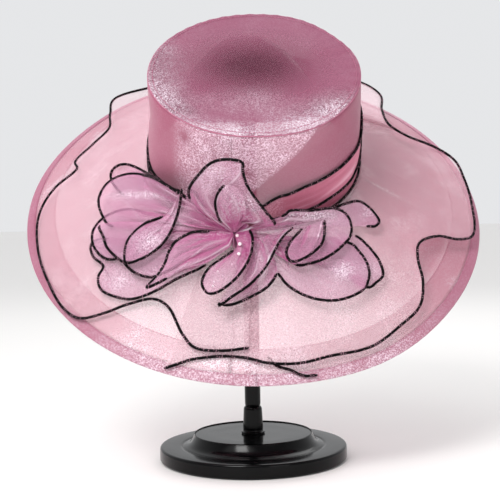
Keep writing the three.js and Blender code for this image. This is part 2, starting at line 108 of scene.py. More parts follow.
# The room is brightest beyond the hat and dim behind the camera, so the black base keeps its depth.
tree = world.node_tree
way = add(tree, "SeparateXYZ", {"Vector": add(tree, "TexCoord").outputs["Generated"]})
glow = add(tree, "MapRange", {"Value": way.outputs["Y"], "From Min": -0.7, "From Max": 0.3,
                              "To Min": ROOM_GLOW[0], "To Max": ROOM_GLOW[1]},
           interpolation_type="SMOOTHSTEP")
feed(tree, tree.nodes["Background"], {"Strength": glow.outputs["Result"], "Color": linear(WALL_COLOUR)})
scene.world = world
soft_light("window", 29, 0.7, (-0.7, -1.5, 1.5), (0, 0, 0.25))
soft_light("front_fill", 4, 0.8, (0.9, -1.5, 0.6), (0, 0, 0.25))
soft_light("back_fill", 5, 1.0, (0.3, 1.3, 1.3), (0, 0, 0.25))
daylight = bpy.data.objects.new("daylight", bpy.data.lights.new("daylight", "SUN"))
daylight.data.energy = 0.7
daylight.data.angle = math.radians(50)
daylight.rotation_euler = (math.radians(30), math.radians(-22), 0)
bpy.context.collection.objects.link(daylight)

bpy.ops.mesh.primitive_plane_add(size=30, location=FLOOR_PLACE)
floor = bpy.context.object
floor.name = "floor"
paint, tree, shader = new_material("pale_floor")
mottle = add(tree, "TexNoise", {"Scale": 9.0, "Detail": 3.0})
tone = add(tree, "ValToRGB", {"Fac": mottle.outputs["Fac"]})
tone.color_ramp.elements[0].color = linear("F2F0EE")
tone.color_ramp.elements[1].color = linear(FLOOR_COLOUR)
feed(tree, shader, {"Base Color": tone.outputs["Color"], "Roughness": 0.6})
floor.data.materials.append(paint)

# Stand: four black injection-moulded pieces. A weighted round base has a raised disc in its middle,
# a collar and tapered sleeve press into that, and a straight tube carries the hollow domed head.
MM = 0.001
BASE_RADIUS, BASE_RIM = 86.5, 13
STEP_FOOT_RADIUS, STEP_TOP_RADIUS, STEP_TOP = 63, 54.5, 23
COLLAR_RADIUS, COLLAR_TOP = 11, 26.5
SLEEVE_RADIUS, SLEEVE_TOP = 8.4, 48
TUBE_RADIUS = 7.3
HEAD_RADIUS, HEAD_TOP, HEAD_RIM, HEAD_WALL = 75, 390.8, 318, 2.5
HEAD_WALL_DOWN = HEAD_WALL * 1.6  # the same wall measured straight down through the slope
BOSS_RADIUS, BOSS_DEPTH = 11, 26
SEAT = 0.35  # air between pieces that touch


def finish_piece(name, points, faces, material, replaced=()):
    """A smooth mesh piece on the object's one body, standing for the CAD nodes it replaces."""
    mesh = bpy.data.meshes.new(name)
    mesh.from_pydata([tuple(point) for point in points], [], faces)
    mesh.shade_smooth()
    mesh.materials.append(material)
    piece = bpy.data.objects.new(name, mesh)
    bpy.context.collection.objects.link(piece)
    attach(piece, "root")
    if replaced:
        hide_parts(*replaced)
    return piece


def rounded(corners):
    """Points along an outline of (x, y, rounding) corners, each corner rounded off."""
    line = []
    for k, (x, y, rounding) in enumerate(corners):
        corner = Vector((x, y))
        if not rounding:
            line.append(corner)
            continue
        before = (Vector(corners[k - 1][:2]) - corner).normalized() * rounding
        after = (Vector(corners[(k + 1) % len(corners)][:2]) - corner).normalized() * rounding
        for t in (0, 0.17, 0.33, 0.5, 0.67, 0.83, 1):
            line.append(corner + before * (1 - t) ** 2 + after * t ** 2)
    return line


def turned(name, corners, material, replaced, around, shape=lambda point: point):
    """A body of revolution about +Z from (radius, height, rounding) corners that start and end on it."""
    line = rounded(corners)
    points = [shape(Vector((0, 0, line[0].y)))]
    for r, z in line[1:-1]:
        for k in range(around):
            angle = math.tau * k / around
            points.append(shape(Vector((r * math.sin(angle), -r * math.cos(angle), z))))
    points.append(shape(Vector((0, 0, line[-1].y))))
    rings = len(line) - 2
    faces = []
    for k in range(around):
        after = (k + 1) % around
        faces.append((0, 1 + after, 1 + k))
        for ring in range(rings - 1):
            low = 1 + ring * around
            faces.append((low + k, low + after, low + around + after, low + around + k))
        last = 1 + (rings - 1) * around
        faces.append((last + k, last + after, len(points) - 1))
    return finish_piece(name, [point * MM for point in points], faces, material, replaced)


# High-impact polystyrene, moulded in a polished tool: near black, glossy, with faint handling haze
# and the slight waviness that a thick moulding shows in its reflections.
glossy_black, tree, shader = new_material("moulded_black_polystyrene")
place = add(tree, "TexCoord")
haze = add(tree, "TexNoise", {"Vector": place.outputs["Object"], "Scale": 55.0, "Detail": 4.0})
ripple = add(tree, "TexNoise", {"Vector": place.outputs["Object"], "Scale": 22.0, "Detail": 1.0})
dulling = add(tree, "MapRange", {"Value": haze.outputs["Fac"], "To Min": 0.1, "To Max": 0.22})
wave = add(tree, "Bump", {"Height": ripple.outputs["Fac"], "Strength": 0.12, "Distance": 0.001})
feed(tree, shader, {"Roughness": dulling.outputs["Result"], "Normal": wave.outputs["Normal"],
                    "Base Color": linear("040405"), "IOR": 1.5, "Specular IOR Level": 0.15})
turned("base_moulding", [
    (0, 0, 0), (BASE_RADIUS - 1.5, 0, 0.8), (BASE_RADIUS, 1.5, 0.8), (BASE_RADIUS, BASE_RIM, 2.6),
    (STEP_FOOT_RADIUS + 4, BASE_RIM, 1.5), (STEP_FOOT_RADIUS + 2.6, BASE_RIM - 0.7, 0.8),
    (STEP_FOOT_RADIUS + 1.4, BASE_RIM, 0.8), (STEP_FOOT_RADIUS - 4, BASE_RIM + 1.5, 3.4),
    (STEP_TOP_RADIUS + 0.8, STEP_TOP - 2, 3), (STEP_TOP_RADIUS, STEP_TOP, 1.5), (30, STEP_TOP - 0.3, 4),
    (0, STEP_TOP - 0.3, 0),
], glossy_black, ["stand_base"], around=200)
turned("collar_and_sleeve", [
    (0, STEP_TOP + SEAT, 0), (COLLAR_RADIUS, STEP_TOP + SEAT, 0.5), (COLLAR_RADIUS, STEP_TOP + 1.7, 0.6),
    (SLEEVE_RADIUS + 1, STEP_TOP + 2, 0.6), (SLEEVE_RADIUS + 0.7, COLLAR_TOP, 0.6),
    (SLEEVE_RADIUS + 0.9, COLLAR_TOP + 1.4, 0.6), (SLEEVE_RADIUS + 0.1, SLEEVE_TOP - 2, 1),
    (SLEEVE_RADIUS - 0.9, SLEEVE_TOP, 0.8), (0, SLEEVE_TOP, 0),
], glossy_black, ["stand_sleeve"], around=72)
boss_foot = HEAD_TOP - HEAD_WALL - BOSS_DEPTH
turned("upright_tube", [
    (0, SLEEVE_TOP + SEAT, 0), (TUBE_RADIUS - 0.4, SLEEVE_TOP + SEAT, 0.3),
    (TUBE_RADIUS, SLEEVE_TOP + 3, 1), (TUBE_RADIUS - 0.3, boss_foot - 1, 0.4), (0, boss_foot - SEAT, 0),
], glossy_black, ["stand_pole"], around=72)


def head_height(radius):
    """The domed head falls with the square of the distance from the tube."""
    return HEAD_TOP - (HEAD_TOP - HEAD_RIM) * (radius / HEAD_RADIUS) ** 2


head = [(0, boss_foot, 0), (BOSS_RADIUS - 0.5, boss_foot, 0.5)]
head.append((BOSS_RADIUS, head_height(BOSS_RADIUS) - HEAD_WALL_DOWN, 2))
for step in range(1, 15):
    radius = BOSS_RADIUS + (HEAD_RADIUS - HEAD_WALL - BOSS_RADIUS) * step / 14
    head.append((radius, head_height(radius) - HEAD_WALL_DOWN, 0))
head.append((HEAD_RADIUS - 0.6, HEAD_RIM - HEAD_WALL, 0.8))
head.append((HEAD_RADIUS, HEAD_RIM, 0.8))
for step in range(15, 0, -1):
    head.append((HEAD_RADIUS * step / 16, head_height(HEAD_RADIUS * step / 16), 0))
head.append((0, HEAD_TOP, 0))
turned("domed_head", head, glossy_black, ["stand_head"], around=120)

# Crown side: one band of sheer pink organza, joined by an upright seam left of the front. It is stiff
# enough to stand, with faint hollows, and its threads close up where it turns away.
HAT_PLACE = Vector((5, 1.4, 275))
HAT_TILT, HAT_LEAN = math.radians(41.8), math.radians(0.9)
CROWN_FOOT_RADIUS, CROWN_TIP_RADIUS, CROWN_HEIGHT = 95, 92, 99
CROWN_SEAM = -12.3  # degrees round from the front
CLOTH = 0.5  # drawn thickness; the real cloth is about 0.15
hat = Matrix.Translation(HAT_PLACE) @ Matrix.Rotation(HAT_TILT, 4, "X") @ Matrix.Rotation(HAT_LEAN, 4, "Y")


def polar(angle, radius, height):
    """A point of the hat's frame, in millimetres, at degrees round from its front."""
    return Vector((radius * math.sin(math.radians(angle)), -radius * math.cos(math.radians(angle)), height))


def drift(seed, x, y, z=0.0):
    """Slow unevenness, mostly between -0.6 and 0.6."""
    return noise.noise(Vector((x, y, z + 31.7 * seed)))


def blend(low, high, share):
    return low + (high - low) * share


def ease(low, high, value):
    """0 below low, 1 above high and smooth between."""
    t = min(max((value - low) / (high - low), 0), 1)
    return t * t * (3 - 2 * t)


def organza(name, thread, dense, glint, sheer):
    """Sheer cloth of fine filament. Its mesh says where the cloth is thick or carries painted shade, where
    it is creased and where a painted highlight goes, and sheer is how much of one face hides what is behind
    it when seen square on."""
    cloth, tree, shader = new_material(name)
    place = add(tree, "TexCoord").outputs["Object"]
    # This mark holds how thick the cloth is, and also painted shade on the sides and back of the crown,
    # brim and binding.
    packed_and_shade = add(tree, "Attribute", attribute_name="dense").outputs["Fac"]
    crease = add(tree, "Attribute", attribute_name="crease").outputs["Fac"]
    light = add(tree, "Attribute", attribute_name="glint").outputs["Fac"]
    lie = add(tree, "Attribute", attribute_name="lie").outputs["Vector"]
    # The weave has about seven threads a millimetre and is drawn eight times coarser, so that it shows.
    warp = add(tree, "TexWave", {"Vector": lie, "Scale": 0.28, "Distortion": 0.7}, bands_direction="X")
    weft = add(tree, "TexWave", {"Vector": lie, "Scale": 0.25, "Distortion": 0.7}, bands_direction="Y")
    weave = add(tree, "Math", {0: warp.outputs["Fac"], 1: weft.outputs["Fac"]}, operation="MAXIMUM")
    # Painted glitter: single filaments glint under a millimetre apart, in drifts a few centimetres wide,
    # where the glint mark paints a highlight.
    grain = add(tree, "TexVoronoi", {"Vector": place, "Scale": 1250.0})
    glint_of = add(tree, "SeparateColor", {"Color": grain.outputs["Color"]})
    patch = add(tree, "TexNoise", {"Vector": place, "Scale": 30.0, "Detail": 3.0})
    lit = add(tree, "MapRange", {"Value": patch.outputs["Fac"], "From Min": 0.35, "From Max": 0.65,
                                 "To Min": 0.6, "To Max": 1.25})
    bright = add(tree, "Math", {0: light, 1: lit.outputs["Result"]}, operation="MULTIPLY")
    glitter = add(tree, "MapRange", {"Value": glint_of.outputs["Red"], "From Min": 0.3, "To Min": 0.15,
                                     "To Max": 1.05})
    spark = add(tree, "Math", {0: bright.outputs[0], 1: glitter.outputs["Result"]}, operation="MULTIPLY",
                use_clamp=True)
    # Fold crests are painted paler as a highlight, and creases deeper as painted shade.
    crest = add(tree, "Math", {0: crease, 1: 0.85}, operation="MULTIPLY", use_clamp=True)
    white = add(tree, "Math", {0: spark.outputs[0], 1: crest.outputs[0]}, operation="MAXIMUM")
    valley = add(tree, "Math", {0: crease, 1: -0.8}, operation="MULTIPLY", use_clamp=True)
    turn = add(tree, "LayerWeight", {"Blend": 0.5})
    # Seen edge on, the threads close up and each face hides more of what is behind it.
    square = add(tree, "Math", {0: 1.06, 1: turn.outputs["Facing"]}, operation="SUBTRACT")
    depth = add(tree, "Math", {0: 1.0, 1: square.outputs[0]}, operation="DIVIDE")
    deep_cloth_and_shade = add(tree, "Math", {0: packed_and_shade, 1: valley.outputs[0]}, operation="ADD", use_clamp=True)
    # The thread colour deepens where the cloth is thick and where shade is painted, and turns to the glint
    # colour as a painted highlight.
    dyed_and_shaded = add(tree, "Mix", {"Factor": deep_cloth_and_shade.outputs[0], "A": linear(thread), "B": linear(dense)},
               data_type="RGBA")
    shown = add(tree, "Mix", {"Factor": white.outputs[0], "A": dyed_and_shaded.outputs["Result"],
                              "B": linear(glint)}, data_type="RGBA")
    passed = add(tree, "Math", {0: 1 - sheer, 1: depth.outputs[0]}, operation="POWER")
    fill = add(tree, "Math", {0: deep_cloth_and_shade.outputs[0], 1: white.outputs[0]}, operation="MAXIMUM")
    shut = add(tree, "Math", {0: fill.outputs[0], 1: -0.65, 2: 1.0}, operation="MULTIPLY_ADD")
    left = add(tree, "Math", {0: passed.outputs[0], 1: shut.outputs[0]}, operation="MULTIPLY")
    knit = add(tree, "MapRange", {"Value": weave.outputs[0], "To Min": 1.07, "To Max": 0.95})
    clear = add(tree, "Math", {0: left.outputs[0], 1: knit.outputs["Result"]}, operation="MULTIPLY")
    alpha = add(tree, "Math", {0: 1.0, 1: clear.outputs[0]}, operation="SUBTRACT", use_clamp=True)
    raised = add(tree, "Math", {0: weave.outputs[0], 1: glint_of.outputs["Green"]}, operation="ADD")
    bump = add(tree, "Bump", {"Height": raised.outputs[0], "Strength": 0.25, "Distance": 0.0003})
    feed(tree, shader, {"Base Color": shown.outputs["Result"], "Alpha": alpha.outputs[0],
                        "Normal": bump.outputs["Normal"], "Roughness": 0.45, "IOR": 1.5,
                        "Sheen Weight": 0.15, "Sheen Roughness": 0.4})
    return cloth


def store_marks(piece, lie, **marks):
    """Keep on a mesh, point by point, its marks and where each point lies in the flat cloth."""
    for label, values in marks.items():
        piece.data.attributes.new(label, "FLOAT", "POINT").data.foreach_set("value", values)
    flat = [value for spot in lie for value in spot]
    piece.data.attributes.new("lie", "FLOAT_VECTOR", "POINT").data.foreach_set("vector", flat)


def panel(name, at, along, across, material, replaced, marks, place=hat, thick=CLOTH):
    """A cloth panel of along by across faces from at(u, v), a point in millimetres of place's frame.
    marks(u, v) gives how thick the cloth is with its painted shade, how creased (1 on a crest, -1 in a
    valley) for painted light and shade, and its painted highlight."""
    points, lie = [], []
    dense, crease, glint = [], [], []
    for i in range(along + 1):
        for j in range(across + 1):
            u, v = i / along, j / across
            points.append(place @ at(u, v))
            for store, value in zip((dense, crease, glint), marks(u, v)):
                store.append(value)
    rows = across + 1
    for i in range(along + 1):
        for j in range(rows):
            here = points[i * rows + j]
            back = lie[(i - 1) * rows + j][0] + (here - points[(i - 1) * rows + j]).length if i else 0
            side = lie[-1][1] + (here - points[i * rows + j - 1]).length if j else 0
            lie.append((back, side, 0))
    faces = []
    for i in range(along):
        for j in range(across):
            low = i * rows + j
            faces.append((low, low + rows, low + rows + 1, low + 1))
    piece = finish_piece(name, [point * MM for point in points], faces, material, replaced)
    store_marks(piece, lie, dense=dense, crease=crease, glint=glint)
    body = piece.modifiers.new("thickness", "SOLIDIFY")
    body.thickness = thick * MM
    body.offset = 0
    return piece


def crown_radius(height):
    return blend(CROWN_FOOT_RADIUS, CROWN_TIP_RADIUS, height / CROWN_HEIGHT)


def crown_point(angle, height, out=0.0):
    """A point of the crown's side, which is a little uneven all round."""
    turn = math.radians(angle)
    uneven = 2.6 * drift(3, 1.6 * math.sin(turn), 1.6 * math.cos(turn), height / 40) * ease(0, 20, height)
    shoulder = 1.6 * ease(CROWN_HEIGHT - 4, CROWN_HEIGHT, height)
    return polar(angle, crown_radius(height) + uneven - shoulder + out, height)


def crown_side(u, v):
    """Once round from the seam, and up to just under the tip."""
    return crown_point(CROWN_SEAM + 360 * u, (CROWN_HEIGHT - 0.9) * v)


def crown_marks(u, v):
    """A painted highlight in front up to a slanting edge, a denser seam, painted shade in a small dent,
    and painted shade on the sides, deepest at the right.
    """
    angle = (CROWN_SEAM + 360 * u + 180) % 360 - 180
    last = blend(-28, 33, v)
    front = ease(-50, -34, angle) * (1 - ease(last - 1.5, last + 1.5, angle))
    seam = math.exp(-(min(u, 1 - u) * 360 / 1.0) ** 2)
    dent = math.exp(-((angle + 39) / 4) ** 2 - ((v - 0.86) / 0.08) ** 2)
    side = 0.2 * (1 - front) + 0.35 * ease(20, 75, angle) * (1 - ease(110, 150, angle))
    return max(0.4 * seam, side, 0.6 * dent), 0, 0.08 + 1.05 * front * (1 - dent)


crown_cloth = organza("crown_organza", "B55A79", "8A2E50", "FBDDEE", sheer=0.52)
piece = panel("crown_side_band", crown_side, 240, 40, crown_cloth, ["crown_side"],
              crown_marks)

# Crown tip: a disc of the same organza over a second layer, sewn to the side with a narrow welt that
# stands out as a fine cord all round. The dark head of the stand shows through its middle.
TIP_FLOOR = CROWN_HEIGHT - 0.2  # the disc's underside in its middle
TIP_CROWN = CROWN_HEIGHT + 0.4  # and its upper side
PUCKERS = 46


def crown_tip_shape(point):
    """The tip's place on the hat, puckered by the seam round it and sunk a little between."""
    radius = math.hypot(point.x, point.y)
    angle = math.degrees(math.atan2(point.x, -point.y))
    pucker = 0.35 * math.sin(math.radians(angle * PUCKERS)) * ease(70, 91, radius)
    sag = 1.1 * drift(7, point.x / 45, point.y / 45) * ease(0, 30, 92 - radius)
    rim = crown_point(angle, CROWN_HEIGHT - 4)
    wide = 1 + (math.hypot(rim.x, rim.y) / crown_radius(CROWN_HEIGHT - 4) - 1) * ease(30, 85, radius)
    return hat @ Vector((point.x * wide, point.y * wide, point.z + pucker + sag))


tip_cloth = organza("tip_organza", "9C4868", "A04E70", "F8E8F4", sheer=0.1)
tip_rows = [(0, TIP_FLOOR, 0)]
for radius in (20, 40, 55, 70, 80, 86):
    tip_rows.append((radius, TIP_FLOOR - 0.5 * (radius / 90) ** 2, 0))
for radius, over, rounding in ((90.8, -0.9, 0.6), (91.9, -0.4, 0.5), (90.6, 0.2, 0.6)):
    tip_rows.append((radius, CROWN_HEIGHT + over, rounding))
for radius in (86, 80, 70, 55, 40, 20):
    tip_rows.append((radius, TIP_CROWN - 0.4 * (radius / 90) ** 2, 0))
tip_rows.append((0, TIP_CROWN, 0))
tip = turned("crown_tip_disc", tip_rows, tip_cloth, ["crown_tip"], 180, crown_tip_shape)
inverse = hat.inverted()
# The tip's marks: a painted highlight in a band along its front edge, in a blob and over its middle, little
# over the core, and thicker cloth everywhere but the core, so the dark head shows there.
shine, packed_and_shade, lie = [], [], []
for vertex in tip.data.vertices:
    spot = inverse @ (vertex.co / MM)
    lie.append(spot)
    radius, angle = math.hypot(spot.x, spot.y), math.degrees(math.atan2(spot.x, -spot.y))
    band = ease(blend(72, 56, ease(0, 60, abs(angle + 10))), 86, radius)
    band *= 1 - ease(75, 105, abs(angle + 25))
    blob = math.exp(-((spot.x - 26) / 17) ** 2 - ((spot.y + 74) / 15) ** 2)
    middle = math.exp(-((spot.x + 8) / 45) ** 2 - ((spot.y + 48) / 16) ** 2)
    core = math.exp(-((spot.x + 2) / 46) ** 2 - ((spot.y - 8) / 36) ** 2)
    shine.append(0.12 * (1 - 0.8 * core) + max(0.8 * band, 0.85 * blob, 0.4 * middle))
    packed_and_shade.append(max(0.82 * (1 - core) ** 1.5 * (1 - 0.6 * band), 0.8 * ease(50, 68, -spot.y)))
store_marks(tip, lie, glint=shine, dense=packed_and_shade, crease=[0] * len(lie))


def frames(path):
    """For each point of a path, two directions square to it that turn as little as they can."""
    made = []
    side = None
    for k, point in enumerate(path):
        ahead = (path[min(k + 1, len(path) - 1)] - path[max(k - 1, 0)]).normalized()
        if side is None:
            side = ahead.orthogonal().normalized()
        side = (side - ahead * side.dot(ahead)).normalized()
        made.append((point, side, ahead.cross(side)))
    return made


def swept(name, path, section, material, replaced=()):
    """A closed solid along a path. section(k) gives the (side, up) points round its k-th point."""
    points, lie = [], []
    along = 0.0
    for k, (point, side, up) in enumerate(frames(path)):
        along += (point - path[k - 1]).length if k else 0
        ring = section(k)
        for n, (x, y) in enumerate(ring):
            points.append(point + side * x + up * y)
            lie.append((along, n / len(ring), 0))
    around = len(ring)
    faces = [tuple(range(around - 1, -1, -1)), tuple(range(len(points) - around, len(points)))]
    for k in range(len(path) - 1):
        for n in range(around):
            low, after = k * around + n, k * around + (n + 1) % around
            faces.append((low, after, after + around, low + around))
    piece = finish_piece(name, [point * MM for point in points], faces, material, replaced)
    store_marks(piece, lie)


THREAD_SIDES = 5


def stitches(name, path, length, gap, radius, material):
    """A row of sewn stitches along a path, each a short thread that dips into the cloth at its ends."""
    points, faces = [], []
    made = frames(path)
    step = (path[1] - path[0]).length
    each = max(2, round((length + gap) / step))
    run = max(2, round(length / step))
    for start in range(0, len(made) - run, each):
        first = len(points)
        for k in range(run + 1):
            point, side, up = made[start + k]
            size = radius * math.sin(math.pi * (0.12 + 0.76 * k / run))
            for n in range(THREAD_SIDES):
                turn = math.tau * n / THREAD_SIDES
                points.append(point + side * size * math.cos(turn) + up * size * math.sin(turn))
        faces.append(tuple(range(first + THREAD_SIDES - 1, first - 1, -1)))
        faces.append(tuple(range(len(points) - THREAD_SIDES, len(points))))
        for k in range(run):
            for n in range(THREAD_SIDES):
                low = first + k * THREAD_SIDES + n
                after = first + k * THREAD_SIDES + (n + 1) % THREAD_SIDES
                faces.append((low, after, after + THREAD_SIDES, low + THREAD_SIDES))
    finish_piece(name, [point * MM for point in points], faces, material)


# Polyester sewing thread, twisted and lightly waxed: rose, a little darker than the cloth.
sewing_thread, tree, shader = new_material("rose_polyester_thread")
twist = add(tree, "TexNoise", {"Vector": add(tree, "TexCoord").outputs["Object"], "Scale": 2500.0})
ply = add(tree, "Mix", {"Factor": twist.outputs["Fac"], "A": linear("9E4C6A"), "B": linear("C67E97")},
          data_type="RGBA")
feed(tree, shader, {"Base Color": ply.outputs["Result"], "Roughness": 0.5})


def circle(at, count):
    """Points once round the hat from at(degrees), count steps apart."""
    return [hat @ at(360 * k / count) for k in range(count + 1)]


WELT_RADIUS, WELT_SIDES = 0.55, 6
welt = circle(lambda angle: crown_point(angle, CROWN_HEIGHT - 1.2, 0.9), 480)
turns = [math.tau * n / WELT_SIDES for n in range(WELT_SIDES)]
welt_ring = [(WELT_RADIUS * math.cos(turn), WELT_RADIUS * math.sin(turn)) for turn in turns]
swept("crown_welt", welt, lambda k: welt_ring, sewing_thread)
stitches("tip_topstitch", circle(lambda angle: polar(angle, 87.5, CROWN_HEIGHT + 0.45), 900), 2.2, 1.0, 0.3,
         sewing_thread)

# Brim: a shallow cone of organza from the crown's foot, dipping gently in three places. A wide hem is
# turned under it and stitched down, so the outer part is two layers and looks deeper.
BRIM_RADIUS, BRIM_DROP = 215, 62
HEM_RADIUS = 187  # inner edge of the turned hem
BINDING_WIDTH = 8.5
BRIM_SEAM = -6.2  # degrees round from the front
HEM_DEPTH = 0.9  # from the brim's cloth to the hem's, under it
# Columns: angle, spread of the bend in degrees, height at the edge
BRIM_BENDS = [(33, 17, -5), (-148, 22, 4), (-95, 20, 2)]


def brim_height(angle, radius):
    out = (radius - CROWN_FOOT_RADIUS) / (BRIM_RADIUS - CROWN_FOOT_RADIUS)
    bend = 0
    for middle, spread, height in BRIM_BENDS:
        away = (angle - middle + 180) % 360 - 180
        bend += height * math.exp(-((away / spread) ** 2))
    return -BRIM_DROP * out + bend * out * out


def on_brim(angle, radius, lift=0.0):
    return polar(angle, radius, brim_height(angle, radius) + lift)


def brim_marks(first, last):
    """Marks for a brim layer between two radii: a painted highlight in front, with painted streaks of
    light, painted shade at the right and behind, and a denser seam.
    """
    def marks(u, v):
        angle = (BRIM_SEAM + 360 * u + 180) % 360 - 180
        seam = math.exp(-(min(u, 1 - u) * 360 / 0.7) ** 2)
        front = math.exp(-((angle - 5) / 42) ** 4)
        radius = blend(first, last, v)
        streak = 0.45 * ease(0.05, 0.5, drift(11, angle / 9, radius / 20))
        left = ease(-25, -60, angle) * (1 - ease(100, 150, -angle))
        right = ease(25, 75, angle) * (1 - ease(125, 180, angle))
        edge = 0.3 * ease(150, 205, radius) * front
        shine = 0.12 + (0.3 * front + edge) * (1 - 0.9 * ease(5, 25, angle)) + streak + 0.05 * left
        right *= 0.66 - 0.38 * ease(180, 190, radius)
        return max(0.5 * seam, 0.3 * (1 - front) + right + 0.2 * ease(0, 20, angle) * front), 0, shine
    return marks


brim_cloth = organza("brim_organza", "DFA2B3", "AE5672", "FBF1F8", sheer=0.19)
brim_inner = CROWN_FOOT_RADIUS + 0.2  # sewn to the crown's foot
hem_outer = BRIM_RADIUS - BINDING_WIDTH
piece = panel("brim_panel", lambda u, v: on_brim(BRIM_SEAM + 360 * u, blend(brim_inner, hem_outer, v)),
              300, 36, brim_cloth, ["brim"], brim_marks(brim_inner, hem_outer))
piece = panel("brim_turned_hem",
              lambda u, v: on_brim(BRIM_SEAM + 360 * u, blend(HEM_RADIUS, hem_outer, v), -HEM_DEPTH),
              300, 8, brim_cloth, (), brim_marks(HEM_RADIUS, hem_outer))
stitches("hem_stitching", circle(lambda angle: on_brim(angle, HEM_RADIUS + 1, 0.45), 1400), 2.0, 1.0, 0.22,
         sewing_thread)

# Binding: a bias strip of rose organza folded over a steel wire at the brim's edge. It lies flat on
# both sides of the brim, swells over the wire and is held by one row of stitches.
BINDING_THICKNESS = 2.4
BINDING_FLAT = 0.75  # height of its flat part over the brim
binding_cloth = organza("binding_organza", "C0758F", "9C4C6A", "FAE8F4", sheer=0.5)


def binding_section(u, v):
    """Once round the strip: flat against the brim, swelling over the wire at its outer edge."""
    turn = math.tau * v
    out = 0.5 + 0.5 * math.cos(turn)
    wire = blend(BINDING_FLAT, BINDING_THICKNESS / 2, ease(0.6, 1, out))
    angle = 360 * u
    rumple = 0.12 * drift(5, angle * 1.5, v * 2)
    return on_brim(angle, BRIM_RADIUS - BINDING_WIDTH * (1 - out), wire * math.sin(turn) + rumple)


def binding_marks(u, v):
    """A painted highlight in front, and painted shade at the sides and behind."""
    angle = (360 * u + 180) % 360 - 180
    front = math.exp(-((angle - 2) / 45) ** 4)
    return 0.35 * (1 - front), 0, 0.12 + 0.7 * front


piece = panel("edge_binding", binding_section, 360, 20, binding_cloth, ["brim_binding"],
              binding_marks, thick=0.3)
stitches("binding_stitching", circle(lambda angle: on_brim(angle, hem_outer + 1.3, 1.0), 1500),
         2.0, 0.9, 0.24, sewing_thread)

# Corded edge: nylon filament overlocked in black thread. It bounds the ruffle, the sash and every
# petal, and stands as a stiff round cord with glimpses of pale filament between the stitches.
CORD_RADIUS, CORD_SIDES = 1.25, 7
CORD_STEP = 0.7  # between two rings of the cord's mesh
STITCH_PITCH = 2.1  # millimetres along the cord for one turn of the thread
black_cord, tree, shader = new_material("overlocked_black_cord")
lie = add(tree, "Attribute", attribute_name="lie").outputs["Vector"]
apart = add(tree, "SeparateXYZ", {"Vector": lie})
slope = add(tree, "Math", {0: apart.outputs["X"], 1: 1 / STITCH_PITCH, 2: apart.outputs["Y"]},
            operation="MULTIPLY_ADD")
turned_by = add(tree, "Math", {0: slope.outputs[0]}, operation="FRACT")
between = add(tree, "Math", {0: turned_by.outputs[0], 1: 0.8}, operation="GREATER_THAN")
worn = add(tree, "TexNoise", {"Vector": add(tree, "TexCoord").outputs["Object"], "Scale": 420.0,
                              "Detail": 1.0})
open_stitch = add(tree, "Math", {0: worn.outputs["Fac"], 1: 0.56}, operation="GREATER_THAN")
fleck = add(tree, "Math", {0: between.outputs[0], 1: open_stitch.outputs[0]}, operation="MULTIPLY")
laid = add(tree, "Mix", {"Factor": fleck.outputs[0], "A": linear("030203"), "B": linear("B98A9C")},
           data_type="RGBA")
feed(tree, shader, {"Base Color": laid.outputs["Result"], "Roughness": 0.6, "Specular IOR Level": 0.08})


def with_ends(rows):
    """The rows as vectors, with one more at each end that carries the path straight on."""
    rows = [Vector(row) for row in rows]
    return [rows[0] * 2 - rows[1], *rows, rows[-1] * 2 - rows[-2]]


def on_curve(a, b, c, d, t):
    """The point at share t from b to c on a smooth path that comes from a and goes on to d."""
    return 0.5 * (2 * b + (c - a) * t + (2 * a - 5 * b + 4 * c - d) * t ** 2
                  + (3 * b - a - 3 * c + d) * t ** 3)


def evenly(fine, count=None, step=None):
    """Evenly spaced points of a fine path: count steps of it, or one every step millimetres."""
    lengths = [0.0]
    for a, b in zip(fine, fine[1:]):
        lengths.append(lengths[-1] + (b - a).length)
    count = count or max(2, round(lengths[-1] / step))
    made, k = [], 0
    for n in range(count + 1):
        want = lengths[-1] * n / count
        while k < len(fine) - 2 and lengths[k + 1] < want:
            k += 1
        share = (want - lengths[k]) / max(lengths[k + 1] - lengths[k], 1e-9)
        made.append(fine[k].lerp(fine[k + 1], share))
    return made


def smooth_path(knots, step):
    """Points every step millimetres along a smooth curve through the knots."""
    ends = with_ends(knots)
    fine = [on_curve(*ends[n:n + 4], k / 12) for n in range(len(knots) - 1) for k in range(12)]
    return evenly([*fine, knots[-1]], step=step)


def corded_edge(name, knots, replaced):
    """An overlocked cord along the knots, its thread wound round it in a shallow helix."""
    path = smooth_path(knots, CORD_STEP)

    def section(k):
        ring = []
        end = min(1, 0.45 + min(k, len(path) - 1 - k) * 0.25)
        for n in range(CORD_SIDES):
            turn = math.tau * n / CORD_SIDES
            wound = 1 + 0.1 * math.cos(turn + math.tau * k * CORD_STEP / STITCH_PITCH)
            reach = CORD_RADIUS * wound * end
            ring.append((reach * math.cos(turn), reach * math.sin(turn)))
        return ring

    swept(name, path, section, black_cord, replaced)


